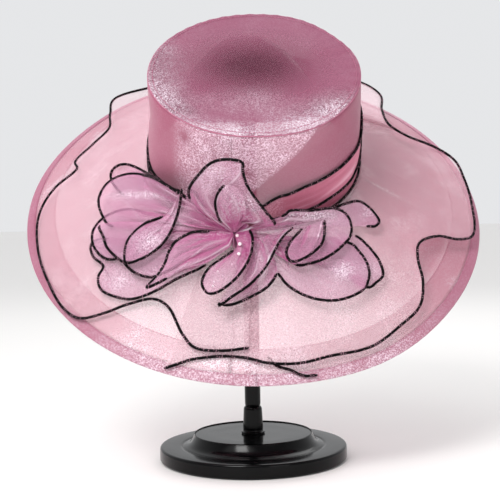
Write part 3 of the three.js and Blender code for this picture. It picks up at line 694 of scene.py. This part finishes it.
# Ruffle: a second strip of organza laid once round the brim and caught at the crown's foot. It lies
# close to the brim there, its corded edge lifts in waves, and its last turn laps over its first.
# Columns: angle, distance from the hat's axis, height above the brim
RUFFLE_EDGE = [
    (-21, 214, 4.6), (-18.5, 208, 3.6), (-15, 201, 2.8), (-9, 196, 2.8), (-3, 196, 3.4), (3, 202, 6.5),
    (10, 204, 7), (18, 202, 6), (28, 204, 6), (37, 201, 7), (45, 199, 9), (50, 189, 13), (54, 175, 15),
    (59, 169, 16), (66, 179, 15), (71, 197, 12), (76, 208, 12), (86, 206, 14), (96, 205, 15),
    (104, 204, 16), (108, 188, 17), (111, 158, 18), (118, 149, 18), (129, 168, 18), (138, 200, 22),
    (147, 210, 24), (160, 205, 20), (173, 190, 14), (187, 180, 12), (202, 190, 16), (214, 182, 20),
    (223, 208, 18), (230, 190, 12), (238, 169, 8), (247, 172, 6), (255, 179, 6), (261, 172, 7),
    (267, 190, 7), (275, 202, 6),
    (287, 207, 5.5), (299, 210, 5.5), (308, 213, 5.5), (314, 210, 5.5), (319, 195, 6), (323, 182, 7),
    (329, 170, 8), (335, 172, 8), (341, 188, 8), (345, 195, 7), (351, 194, 6.4), (358, 190, 6),
]
RUFFLE_TAIL = [(2.5, 195, 3), (4.5, 202, 3), (7.5, 206, 3.2), (10.5, 211.5, 3.3), (13.5, 212.5, 3.3)]
RUFFLE_FOOT_RADIUS = 98.6
RUFFLE_FOOT_HEIGHT = (1.6, 3.4)  # over the brim, and where the last turn laps over the first
RUFFLE_END_TURN = 335  # degrees
RUFFLE_COLUMNS = 720


def curve_through(rows):
    """A smooth path function through the rows, which takes the row as a real number."""
    rows = with_ends(rows)

    def at(t):
        n = min(int(t), len(rows) - 4)
        return on_curve(*rows[n:n + 4], t - n)
    return at


at = curve_through(RUFFLE_EDGE)
last = len(RUFFLE_EDGE) - 1
ruffle_edge = [at(last * k / RUFFLE_COLUMNS) for k in range(RUFFLE_COLUMNS + 1)]


def ruffle_point(u, v):
    """A point of the ruffle, from its foot at v = 0 to its corded edge, with slight ripples between."""
    rim = ruffle_edge[round(u * RUFFLE_COLUMNS)]
    first, last = RUFFLE_EDGE[0][0], RUFFLE_EDGE[-1][0]
    angle = blend(first + (last - first) * u, rim.x, v ** 2)
    radius = blend(RUFFLE_FOOT_RADIUS, rim.y, v)
    foot = blend(*RUFFLE_FOOT_HEIGHT, ease(RUFFLE_END_TURN - 60, RUFFLE_END_TURN, angle))
    height = blend(foot, rim.z, v ** 2.5)
    ripple = 0.5 * drift(17, angle / 5, radius / 60) * ease(0.1, 0.7, v) * (1 - ease(0.9, 1, v))
    return on_brim(angle, radius, height + ripple)


def ruffle_marks(u, v):
    """A painted highlight along soft folds and a little in front, and painted shade between the folds."""
    point = ruffle_point(u, v)
    angle = math.degrees(math.atan2(point.x, -point.y))
    front = math.exp(-((angle - 12) / 45) ** 4)
    fold = drift(23, angle / 7, v * 1.3) + 0.5 * drift(24, angle / 3, v * 1.2)
    crease = 0.35 * ease(0.3, 0.9, fold) - 0.25 * ease(0.3, 0.9, -fold)
    return 0, crease, 0.14 + 0.3 * front + 0.3 * ease(0.2, 0.8, fold)


ruffle_cloth = organza("ruffle_organza", "E6B6C3", "C27A93", "FCF4F7", sheer=0.12)
piece = panel("ruffle_strip", ruffle_point, RUFFLE_COLUMNS, 26, ruffle_cloth, ["ruffle"],
              ruffle_marks, thick=0.35)
knots = [hat @ ruffle_point(k / 360, 1) for k in range(361)]
corded_edge("ruffle_edge_cord", knots, ["ruffle_cord"])
tail = [hat @ on_brim(*row) for row in RUFFLE_TAIL]
corded_edge("ruffle_hidden_end", tail, ["ruffle_tail_cord"])

# Sash: a band of deep rose organza folded along its length and wound once round the crown's foot. It
# climbs at the wearer's left, and each strip is finished with the black cord.
# Columns: angle, lower edge, fold, upper edge
SASH = [
    (-4, 4.5, 10.5, 22), (14, 4.5, 14, 37), (28, 4.5, 15, 41), (45, 4.5, 16.5, 42), (60, 4.5, 15.5, 42),
    (72, 5, 18, 41), (82, 9, 24, 44), (92, 16, 31, 52), (110, 22, 38, 58), (140, 20, 36, 56),
    (180, 14, 30, 48), (220, 9, 22, 36), (255, 5, 13, 22), (276, 4.5, 10, 16), (290, 4.5, 9.5, 15),
    (306, 4.5, 11, 19), (318, 5, 13, 24),
]


def sash_height(column, angle):
    """A smooth height between the rows of the table."""
    for low, high in zip(SASH, SASH[1:]):
        if angle <= high[0] or high is SASH[-1]:
            return blend(low[column], high[column], ease(low[0], high[0], angle))


sash_cloth = organza("sash_organza", "DC7896", "842044", "F8C6D8", sheer=0.55)
LOWER, FOLD, UPPER = 1, 2, 3
for name, low, high, layers, width in (
    ("sash_lower", LOWER, FOLD, 1.0, 0.0135), ("sash_upper", FOLD, UPPER, 1.35, 0.0185),
):
    def sash_point(u, v, low=low, high=high, layers=layers):
        angle = blend(SASH[0][0], SASH[-1][0], u)
        height = blend(sash_height(low, angle) + 0.4, sash_height(high, angle) - 0.4, v)
        slack = 0.35 * math.sin(math.pi * v) + 0.25 * drift(29, angle / 12, v * 3)
        return polar(angle, crown_radius(height) + layers + slack, height)

    def sash_marks(u, v, low=low):
        angle = blend(SASH[0][0], SASH[-1][0], u)
        # A painted highlight in a streak along the upper strip and where the sash starts, noise painted as
        # the light and shade of pleats, and a deeper lower strip.
        streak = math.exp(-((v - 0.3 - 0.1 * drift(31, angle / 20, 0)) / 0.12) ** 2) * ease(28, 45, angle)
        streak *= 1 - ease(60, 75, angle)
        pleat = 0.5 * drift(33, angle / 25, v * 7)
        start = 1 - ease(8, 18, angle)
        packed_and_shade = (0.75 if low == LOWER else 0.12) * (1 - start)
        return packed_and_shade, 0.8 * streak * (low == FOLD) + pleat, 0.1 + 0.6 * start

    piece = panel(name + "_strip", sash_point, 240, 14, sash_cloth, [name], sash_marks)
for name, column, shift in (("lower", LOWER, -0.8), ("fold", FOLD, 0), ("upper", UPPER, 0.8)):
    knots = []
    for k in range(101):
        angle = blend(SASH[0][0], SASH[-1][0], k / 100)
        height = sash_height(column, angle) + shift  # the outer cords lap over the cloth's edge
        knots.append(hat @ polar(angle, crown_radius(height) + 0.5 + CORD_RADIUS + SEAT, height))
    corded_edge("sash_edge_" + name, knots, ["sash_cord_" + name])

# Flower: petals of lilac-pink organza gathered at one knot in front of the crown's foot. Each is cut
# in one piece, pleated at its root, and wired along its free edge with the black cord.
flower = hat @ Matrix.Translation((0, -CROWN_FOOT_RADIUS, 0)) @ Matrix.Rotation(-HAT_TILT, 4, "X")
KNOT = Vector((-18, 0, -1.5))
HEART = -23  # depth at which the petals' gathered ends meet
CROTCH_SOFTNESS = 8  # millimetres over which the crown's foot rounds into the brim
SEARCH_REACH, HALVINGS = 400.0, 32
# From back to front. lift is the height over the hat at the tip, root the height at the knot and bow
# how far the middle stands out. tip is the outline's row at the tip, and cord the first and last rows
# along which the cord shows.
PETALS = [
    dict(name="back_loop", lift=9, tip=4, cord=(1, 6), outline=[
        (-27, 3), (-56, 27), (-94, 50), (-115, 60), (-128, 57), (-131, 47), (-117, 32), (-79, 14),
        (-28, -2)]),
    dict(name="left_lower", lift=9, tip=7, cord=(2, 12), outline=[
        (-28, -6), (-83, -7), (-128, -6), (-144, -11), (-142, -22), (-132, -30), (-136, -40), (-131, -51),
        (-111, -57), (-97, -55), (-81, -48), (-67, -40), (-42, -28), (-25, -11)]),
    dict(name="left_middle", lift=12, tip=6, cord=(2, 9), outline=[
        (-28, 0), (-56, 6), (-88, 14), (-112, 19), (-132, 13), (-143, 1), (-142, -12), (-133, -22),
        (-121, -24), (-91, -18), (-56, -11), (-28, -5)]),
    dict(name="left_upper", lift=15, tip=6, cord=(1, 8), outline=[
        (-26, 4), (-47, 21), (-64, 32), (-88, 46), (-112, 51), (-132, 44), (-140, 28), (-134, 12),
        (-124, 4), (-91, 0), (-28, 0)]),
    dict(name="left_under", lift=15, tip=4, cord=(3.5, 8), outline=[
        (-28, -4), (-73, -7), (-109, -12), (-115, -20), (-112, -27), (-104, -34), (-93, -38), (-83, -37),
        (-60, -26), (-26, -9)]),
    dict(name="left_wing", lift=18, tip=4, cord=(3, 7.4), outline=[
        (-28, 1), (-91, 7), (-118, 8), (-136, 5), (-132, -5), (-128, -14), (-119, -22), (-111, -26),
        (-97, -22), (-78, -9), (-28, -3)]),
    dict(name="left_neck", lift=21.5, tip=3, cord=(1, 2.6), outline=[
        (-27, 6), (-41, 20), (-51, 33), (-57, 31), (-59, 21), (-64, 7), (-28, 0)]),
    dict(name="left_front", lift=21.5, bow=2, tip=6, cord=(0, 10), outline=[
        (-61, 35), (-64, 21), (-70, 4), (-76, -7), (-85, -16), (-97, -23), (-110, -26), (-111, -13),
        (-106, -3), (-94, 7), (-79, 13), (-67, 25)]),
    dict(name="right_outer", lift=9, tip=6, cord=(3, 8), outline=[
        (-7, -5), (38, -5), (73, -6), (86, -5), (97, -14), (106, -26), (109, -38), (103, -44), (92, -48),
        (63, -34), (29, -20), (-8, -9)]),
    dict(name="right_upper", lift=9, tip=7, cord=(2, 9), outline=[
        (-7, 3), (37, 9), (70, 20), (79, 23), (91, 25), (100, 20), (107, 12), (109, 7), (105, 3), (97, 3),
        (64, 3), (29, 1), (-8, -1)]),
    dict(name="right_lower", lift=12, tip=8, cord=(2, 12), outline=[
        (-9, -9), (9, -24), (18, -35), (26, -45), (39, -53), (52, -57), (66, -58), (80, -55), (91, -49),
        (96, -39), (95, -29), (89, -19), (77, -10), (37, -5), (-8, -3)]),
    dict(name="long_back", lift=15, tip=7, cord=(3, 7.2), outline=[
        (-8, -5), (8, -14), (17, -26), (17, -35), (9, -46), (-5, -54), (-20, -60), (-28, -59), (-14, -49),
        (-7, -34), (-11, -12)]),
    dict(name="right_main", lift=18, tip=7, cord=(1, 11), outline=[
        (-8, 3), (21, 12), (29, 17), (47, 17), (64, 19), (75, 16), (81, 8), (81, -4), (72, -14), (60, -22),
        (46, -27), (32, -28), (13, -17), (-8, -6)]),
    dict(name="right_lip", lift=23.5, root=21.9, tip=4, cord=(0, 8), outline=[
        (39, 2), (29, -9), (25, -18), (29, -25), (39, -23), (50, -16), (56, -9), (58, 1), (58, 9)]),
    dict(name="long_front", lift=22, tip=6, cord=(0, 6.3), outline=[
        (31, 3), (23, -4), (16, -15), (8, -29), (-5, -43), (-20, -53), (-31, -60), (-24, -47), (-17, -31),
        (-16, -11)]),
    dict(name="pointed", lift=25, bow=2, tip=7, cord=(0.7, 8.2), outline=[
        (-28, 0), (-43, 0), (-54, -1), (-67, -8), (-73, -17), (-76, -26), (-82, -36), (-91, -46),
        (-77, -40), (-60, -31), (-40, -25), (-22, -13)]),
    dict(name="upper", lift=25, root=23.5, tip=7, cord=(2, 12), outline=[
        (-27, 7), (-43, 16), (-54, 27), (-54, 36), (-46, 46), (-37, 54), (-26, 57), (-12, 55), (-11, 48),
        (-8, 38), (-1, 27), (7, 17), (15, 5), (-9, 7)]),
    dict(name="curl", lift=29, root=26, bow=2, tip=4, cord=(1, 4.4), outline=[
        (-21, 8), (-28, 7), (-32, 15), (-33, 25), (-28, 35), (-20, 37), (-11, 29), (-9, 16), (-13, 7)]),
    dict(name="oblong", lift=29, bow=3, tip=7, cord=(0.2, 11.6), outline=[
        (-6, 2), (-4, -2), (-3, -6), (-4, -16), (-8, -26), (-17, -38), (-30, -48), (-39, -50), (-44, -45),
        (-44, -38), (-38, -29), (-25, -20), (-15, -13)]),
]


def bed(x, z):
    """How far back the hat lies behind a point of the flower's frame."""
    c, s = math.cos(HAT_TILT), math.sin(HAT_TILT)
    foot = CROWN_FOOT_RADIUS
    crown = (foot - math.sqrt(max(foot * foot - x * x, 0)) - s * z) / c
    near, far = -SEARCH_REACH, SEARCH_REACH
    for _ in range(HALVINGS):
        y = (near + far) / 2
        radius = math.hypot(x, c * y + s * z - foot)
        above = c * z - s * y + BRIM_DROP * (radius - foot) / (BRIM_RADIUS - foot)
        near, far = (y, far) if above > 0 else (near, y)
    first = min(crown, near)
    mixed = math.exp((first - crown) / CROTCH_SOFTNESS) + math.exp((first - near) / CROTCH_SOFTNESS)
    return first - CROTCH_SOFTNESS * math.log(mixed)


BED_STEP = 2.0
SLOPE_REACH = 2  # the hat's slope is taken this far to either side
MOST_STRETCH = 2
bed_table = {}


def bed_at(x, z):
    """The bed's depth, kept on a grid and read smoothly between its points."""
    i, j = math.floor(x / BED_STEP), math.floor(z / BED_STEP)
    corner = []
    for key in ((i, j), (i + 1, j), (i, j + 1), (i + 1, j + 1)):
        if key not in bed_table:
            bed_table[key] = bed(key[0] * BED_STEP, key[1] * BED_STEP)
        corner.append(bed_table[key])
    s, t = x / BED_STEP - i, z / BED_STEP - j
    return blend(blend(corner[0], corner[1], s), blend(corner[2], corner[3], s), t)


def over_hat(x, z, height):
    """A point in front of x and z, with its height measured square to the hat."""
    slope_x = (bed_at(x + SLOPE_REACH, z) - bed_at(x - SLOPE_REACH, z)) / (2 * SLOPE_REACH)
    slope_z = (bed_at(x, z + SLOPE_REACH) - bed_at(x, z - SLOPE_REACH)) / (2 * SLOPE_REACH)
    stretch = min(math.sqrt(1 + slope_x ** 2 + slope_z ** 2), MOST_STRETCH)
    return Vector((x, bed_at(x, z) - height * stretch, z))


def even_rows(at, start, end):
    """The mesh rows along one side of a petal: evenly spaced points between two rows of its outline."""
    fine = [at(blend(start, end, k / OUTLINE_STEPS)) for k in range(OUTLINE_STEPS + 1)]
    return evenly(fine, count=PETAL_ROWS)


petal_cloth = organza("petal_organza", "DA9ABB", "AE3E7E", "FDF4FC", sheer=0.11)
PETAL_ROWS, PETAL_COLUMNS, GATHER_ROWS = 66, 56, 10
OUTLINE_STEPS = 200
PLEAT_WIDTH = 11
GATHER_REACH = 15  # a petal that starts nearer the knot than this is gathered into it
PETAL_FULLNESS = 1.65  # its cloth's area over its outline's, for the slope, pleats and gathers
PETAL_SHARE = 0.8  # its cloth's share of the rectangle that it is cut from
LEAST_WIDTH, LEAST_LENGTH = 0.012, 10  # of that rectangle, in metres and in millimetres
FOLD_REACH = 7  # a fold is not felt beyond this
# Sharp folds pressed into the petals: 1 for a crest with a painted highlight and -1 for a crease with
# painted shade, the width, and points along it.
FOLDS = [
    (0.9, 1.2, [(-17, 54), (-12, 50), (-17, 42), (-28, 34)]),
    (1, 1.1, [(-28, 34), (-33, 21), (-28, 9), (-20, 2)]),
    (0.8, 1.0, [(-25, 35), (-17, 25), (-13, 13), (-16, 3)]), (0.9, 1.1, [(-13, -1), (-6, 2), (1, 8)]),
    (0.8, 1.0, [(-9, 47), (-7, 34), (2, 22), (10, 14)]), (0.7, 1.1, [(-51, 30), (-40, 14), (-22, 1)]),
    (0.7, 1.1, [(-44, 42), (-38, 22), (-24, 6)]), (0.7, 1.0, [(-9, -6), (-1, -16), (0, -30), (-8, -44)]),
    (0.8, 1.1, [(2, -4), (10, -18), (7, -34), (-6, -50)]),
    (0.6, 1.0, [(-23, -6), (-42, -12), (-58, -26), (-72, -38)]),
    (0.35, 1.3, [(-122, 30), (-108, 20), (-96, 4)]),
    (0.5, 1.2, [(40, -24), (47, -37), (60, -46), (76, -49)]),
    (0.5, 1.1, [(100, 5), (88, 1), (76, -6)]), (0.5, 1.0, [(50, 6), (62, 0), (75, -9)]),
    (0.5, 1.0, [(46, -1), (58, -7), (70, -14)]), (0.5, 1.1, [(-58, 9), (-82, 2), (-100, -14)]),
    (0.5, 1.1, [(-30, 4), (-52, 18), (-84, 26)]), (0.3, 1.4, [(-92, -26), (-112, -33), (-128, -44)]),
    (0.5, 0.9, [(-13, -8), (-14, -20), (-26, -36)]), (0.6, 1.1, [(16, 10), (40, 9), (64, 12)]),
    (0.5, 1.0, [(-62, 16), (-74, 24), (-96, 33), (-120, 32)]), (0.5, 1.1, [(8, -22), (24, -34), (40, -50)]),
    (-0.9, 1.2, [(-42, -17), (-53, -22), (-66, -30)]), (-0.9, 1.2, [(-36, -20), (-50, -29), (-64, -38)]),
    (-0.9, 1.2, [(-26, -5), (-42, -7), (-60, -14)]), (-1, 1.2, [(-18, 0), (-24, 12), (-30, 24)]),
    (-1, 1.2, [(-18, 0), (-21, 14), (-21, 28)]), (-1, 1.3, [(-18, 0), (-12, 10), (-2, 20)]),
    (-1, 1.4, [(-20, 0), (-34, 5), (-54, 6)]), (-1, 1.3, [(-20, -2), (-33, -3), (-52, -5)]),
    (-1, 1.2, [(-14, -4), (-8, -14), (-8, -32)]), (-1, 1.2, [(-8, -2), (4, -10), (8, -28)]),
    (-0.8, 1.0, [(-29, 39), (-24, 43)]), (-0.9, 1.2, [(-8, 0), (10, 5), (34, 7)]),
    (-0.9, 1.2, [(-36, 9), (-46, 18), (-52, 30)]), (-0.9, 1.1, [(8, -4), (20, -14), (28, -32)]),
    (-0.5, 1.1, [(30, 12), (50, 15), (66, 14)]), (-0.6, 1.1, [(-70, -2), (-82, -10), (-92, -18)]),
]
for number, (strength, width, path) in enumerate(FOLDS):
    smooth = smooth_path([Vector((x, z, 0)) for x, z in path], 3.0)
    FOLDS[number] = (strength, width, [(point.x, point.y) for point in smooth])


def pressed(x, z):
    """How much of a sharp fold passes through a point of the flower: 1 on a crest, -1 in a crease."""
    total = 0.0
    for sign, width, path in FOLDS:
        for number, ((x1, z1), (x2, z2)) in enumerate(zip(path, path[1:])):
            if abs(x - x1) > FOLD_REACH or abs(z - z1) > FOLD_REACH:
                continue
            t = ((x - x1) * (x2 - x1) + (z - z1) * (z2 - z1)) / ((x2 - x1) ** 2 + (z2 - z1) ** 2)
            t = min(max(t, 0), 1)
            off = math.hypot(x - blend(x1, x2, t), z - blend(z1, z2, t))
            taper = math.sin(math.pi * (number + t + 0.3) / (len(path) - 0.4)) ** 0.6
            near = math.exp(-(off / width) ** 2) * taper
            total = sign * near if near > abs(total) else total
    return total


# Painted highlights where the silvery side of the cloth faces the window. Columns: x, z, half width, half
# height, strength
SHINE = [
    (-36, 42, 14, 14, 1.5), (-88, -6, 14, 12, 0.75), (-104, 31, 24, 4, 0.8), (42, 14, 22, 6, 1.0),
    (76, -33, 13, 8, 0.9), (-55, -25, 14, 8, 0.12), (-66, 12, 9, 14, 0.6), (-12, 34, 6, 14, 0.35),
    (2, -22, 6, 20, 0.35), (-118, -42, 14, 10, 0.6), (58, 6, 9, 12, 0.1), (-28, -40, 9, 8, 0.3),
    (98, 14, 8, 8, 0.4), (100, -34, 8, 8, 0.4), (45, -42, 20, 10, 0.02), (-20, 22, 8, 10, 0.5),
    (-1, 24, 11, 13, 0.9),
]
for order, petal in enumerate(PETALS):
    lift, bow = petal["lift"], petal.get("bow", 0)
    root = petal.get("root", lift)
    at = curve_through(petal["outline"])
    last, tip_row = len(petal["outline"]) - 1, petal["tip"]
    one = even_rows(at, 0, tip_row - 0.02)
    other = even_rows(at, last, tip_row + 0.02)
    wide = max((a - b).length for a, b in zip(one, other))
    pleats = max(2, round(wide / PLEAT_WIDTH))
    gathered = GATHER_ROWS if (Vector((KNOT.x, KNOT.z)) - one[0]).length < GATHER_REACH else 0

    def petal_fold(s, v, order=order, pleats=pleats):
        """Pleats with sharp crests that start at the root and open out towards the tip."""
        wander = 3.2 * drift(order, v * 2.5, s * 1.2)
        wave = 0.5 + 0.5 * math.cos(math.tau * pleats * v + 1.7 * order + wander)
        strength = min(max(0.55 + 1.6 * drift(order + 20, v * 4, s * 0.7), 0.1), 1.1)
        return (2 * wave ** 1.8 - 1) * (1 - ease(0.25, 0.9, s)) * strength

    def petal_spot(u, v):
        """The mesh row, below 0 in the gathers, its share of the way to the tip, and the place there."""
        k = round(u * (PETAL_ROWS + gathered)) - gathered
        return k, max(k, 0) / PETAL_ROWS, one[max(k, 0)].lerp(other[max(k, 0)], v)

    def petal_point(u, v):
        """A point of the petal over the hat or, in its gathers, on the way to the knot's heart."""
        k, s, spot = petal_spot(u, v)
        inner = math.sin(math.pi * v)
        rise = blend(root, lift, s) + 4 * bow * v * (1 - v) * math.sin(math.pi * s)
        rise += 1.5 * petal_fold(s, v) * ease(0, 0.25, inner) * (0.3 + 0.7 * ease(0, 0.12, s))
        rise += 0.9 * pressed(spot.x, spot.y) * ease(0, 0.25, inner)
        rise += 2.0 * inner * ease(0.1, 0.4, s) * drift(order + 40, s * 2.6, v * 2.6)
        point = over_hat(spot.x, spot.y, rise)
        if k >= 0:
            return point
        t = 1 + k / gathered
        heart = Vector((KNOT.x, HEART - 0.15 * lift, KNOT.z))
        heart += (point - Vector((KNOT.x, point.y, KNOT.z))) * 0.12
        reached = heart.lerp(point, t)
        reached.y = blend(heart.y, point.y, ease(0, 1, t))
        return reached

    def petal_marks(u, v):
        """Densest at the knot, with a painted highlight on crests and at random, painted shade in creases,
        and painted highlights where SHINE says.
        """
        k, s, spot = petal_spot(u, v)
        away = (spot - Vector((KNOT.x, KNOT.z))).length * (1 + min(k, 0) / max(gathered, 1))
        fold = petal_fold(s, v)
        line = 0.55 * ease(0.55, 0.95, fold) - 0.6 * ease(0.3, 0.9, -fold) + 0.85 * pressed(spot.x, spot.y)
        shine = 0.12 + 0.22 * ease(0.0, 0.5, drift(order + 60, s * 2.2, v * 2.2))
        for x, z, half_width, half_height, strength in SHINE:
            off = -((spot.x - x) / half_width) ** 2 - ((spot.y - z) / half_height) ** 2
            shine += strength * math.exp(off)
        rim = 0.1 * ease(0.75, 1, abs(2 * v - 1))
        rim += 0.22 * ease(0.0, 0.5, drift(order + 80, s * 2.5, v * 2.5))
        packed_and_shade = min(1, 0.14 + rim + math.exp(-(away / 18) ** 1.3))
        return packed_and_shade, line * ease(1.0, 5.0, away), min(shine, 1.15)

    piece = panel("petal_sheet_" + petal["name"], petal_point, PETAL_ROWS + gathered, PETAL_COLUMNS,
                  petal_cloth, ["petal_" + petal["name"]], petal_marks, flower, thick=0.35)
    area = 0
    for a, b in zip(petal["outline"], petal["outline"][1:] + petal["outline"][:1]):
        area += (a[0] * b[1] - b[0] * a[1]) / 2
    length = max((at(tip_row) - one[0]).length, LEAST_LENGTH) * MM
    width = max(abs(area) * PETAL_FULLNESS * MM * MM / (PETAL_SHARE * length), LEAST_WIDTH)
    first, final = petal["cord"]
    knots = []
    count = round((final - first) * 4)
    for k in range(count + 1):
        t = blend(first, final, k / count)
        spot = at(t)
        share = t / tip_row if t <= tip_row else (last - t) / (last - tip_row)
        knots.append(flower @ over_hat(spot.x, spot.y, blend(root, lift, min(share, 1))))
    corded_edge("petal_edge_" + petal["name"], knots, ["cord_" + petal["name"]])

# Flower knot: the gathered ends of all the petals, drawn tight and folded in on themselves, so the
# cloth is many layers deep and shows its full magenta. It sinks to a point where the thread holds it.
KNOT_FOLDS, KNOT_AROUND = 9, 108
# Columns: radius, place along the flower's depth
KNOT_PROFILE = [(5, -7), (9, -10), (11.5, -15), (10.6, -20), (7.4, -24.5), (4.6, -26), (2.8, -25),
                (1.2, -23)]
knot_cloth = organza("knot_organza", "B6468A", "72124F", "F8D3E8", sheer=0.8)
profile = smooth_path([Vector((radius, depth, 0)) for radius, depth in KNOT_PROFILE], 0.9)
knot_points, knot_faces, knot_crease = [], [], []
for ring, (radius, depth, _) in enumerate(profile):
    share = ring / (len(profile) - 1)
    for k in range(KNOT_AROUND):
        turn = math.tau * k / KNOT_AROUND
        uneven = 1.3 * drift(71, 1.5 * math.cos(turn), 1.5 * math.sin(turn))
        wave = 0.5 + 0.5 * math.cos(KNOT_FOLDS * turn + 3.2 * share + uneven)
        fold = 2 * wave ** 1.6 - 1
        reach = radius * (1 + 0.16 * fold * ease(0, 0.3, share))
        sunk = depth - 1.3 * fold * ease(0.2, 0.6, share) * min(radius / 5, 1)
        spot = Vector((KNOT.x + reach * math.cos(turn), sunk, KNOT.z + reach * math.sin(turn)))
        knot_points.append(flower @ spot)
        # Crests of the knot's folds get a painted highlight and their hollows painted shade.
        knot_crease.append(0.6 * ease(0.6, 1, fold) - 0.9 * ease(0.0, 0.9, -fold))
rings = len(profile)
knot_faces.append(tuple(range(KNOT_AROUND)))
knot_faces.append(tuple(range(rings * KNOT_AROUND - 1, (rings - 1) * KNOT_AROUND - 1, -1)))
for ring in range(rings - 1):
    for k in range(KNOT_AROUND):
        low, after = ring * KNOT_AROUND + k, ring * KNOT_AROUND + (k + 1) % KNOT_AROUND
        knot_faces.append((low, low + KNOT_AROUND, after + KNOT_AROUND, after))
knot = finish_piece("gathered_knot", [point * MM for point in knot_points], knot_faces, knot_cloth,
                    ["flower_knot"])
count = len(knot_points)
store_marks(knot, [(0, 0, 0)] * count, crease=knot_crease, dense=[0.55] * count, glint=[0.2] * count)

# Beads: small white pearls strung below the knot, and clear ones scattered on the oblong petal. They
# are acrylic, about three millimetres across, and each is drilled through for its thread.
pearl, tree, shader = new_material("acrylic_pearl")
swirl = add(tree, "TexNoise", {"Vector": add(tree, "TexCoord").outputs["Object"], "Scale": 600.0})
nacre = add(tree, "Mix", {"Factor": swirl.outputs["Fac"], "A": linear("F7EEF0"), "B": linear("FFDDE8")},
            data_type="RGBA")
feed(tree, shader, {"Base Color": nacre.outputs["Result"], "Roughness": 0.18, "Coat Weight": 0.6})
# Clear acrylic is polished in a tumbler, and its faint waviness breaks up what is seen through it.
crystal, tree, shader = new_material("clear_acrylic")
tumbled = add(tree, "TexNoise", {"Vector": add(tree, "TexCoord").outputs["Object"], "Scale": 900.0})
cloudy = add(tree, "MapRange", {"Value": tumbled.outputs["Fac"], "To Min": 0.35, "To Max": 0.7})
feed(tree, shader, {"Alpha": cloudy.outputs["Result"], "Base Color": linear("F9EEF4"),
                    "Roughness": 0.05, "IOR": 1.49})
# Columns: x, z, height over the hat, radius
PEARLS = [(-15.6, -3.6, 25, 1.5), (-13.6, -10.2, 33, 1.6), (-14.5, -18.2, 33, 1.4)]
CLEAR_BEADS = [(-20, -26.8, 31, 1.1), (-31.5, -32.6, 31, 1.1), (-28, -36, 31, 1.2), (-34.8, -41, 31, 1.1),
               (-35.6, -44.2, 31, 1.1)]
HOLE = 0.2  # the drilled hole's radius as a share of the bead's
HOLE_DEPTH = 0.4  # and how deep it is drawn from either side
for label, rows, acrylic in (("pearl", PEARLS, pearl), ("clear_bead", CLEAR_BEADS, crystal)):
    for number, (x, z, height, radius) in enumerate(rows):
        section = [(0, -(1 - HOLE_DEPTH) * radius, 0)]
        for step in range(13):
            turn = blend(math.asin(HOLE), math.pi - math.asin(HOLE), step / 12)
            section.append((radius * math.sin(turn), -radius * math.cos(turn), 0))
        section.append((0, (1 - HOLE_DEPTH) * radius, 0))
        middle = over_hat(x, z, height)
        turned(f"{label}_{number}", section, acrylic, [], 24,
               lambda point, middle=middle: flower @ (middle + point))
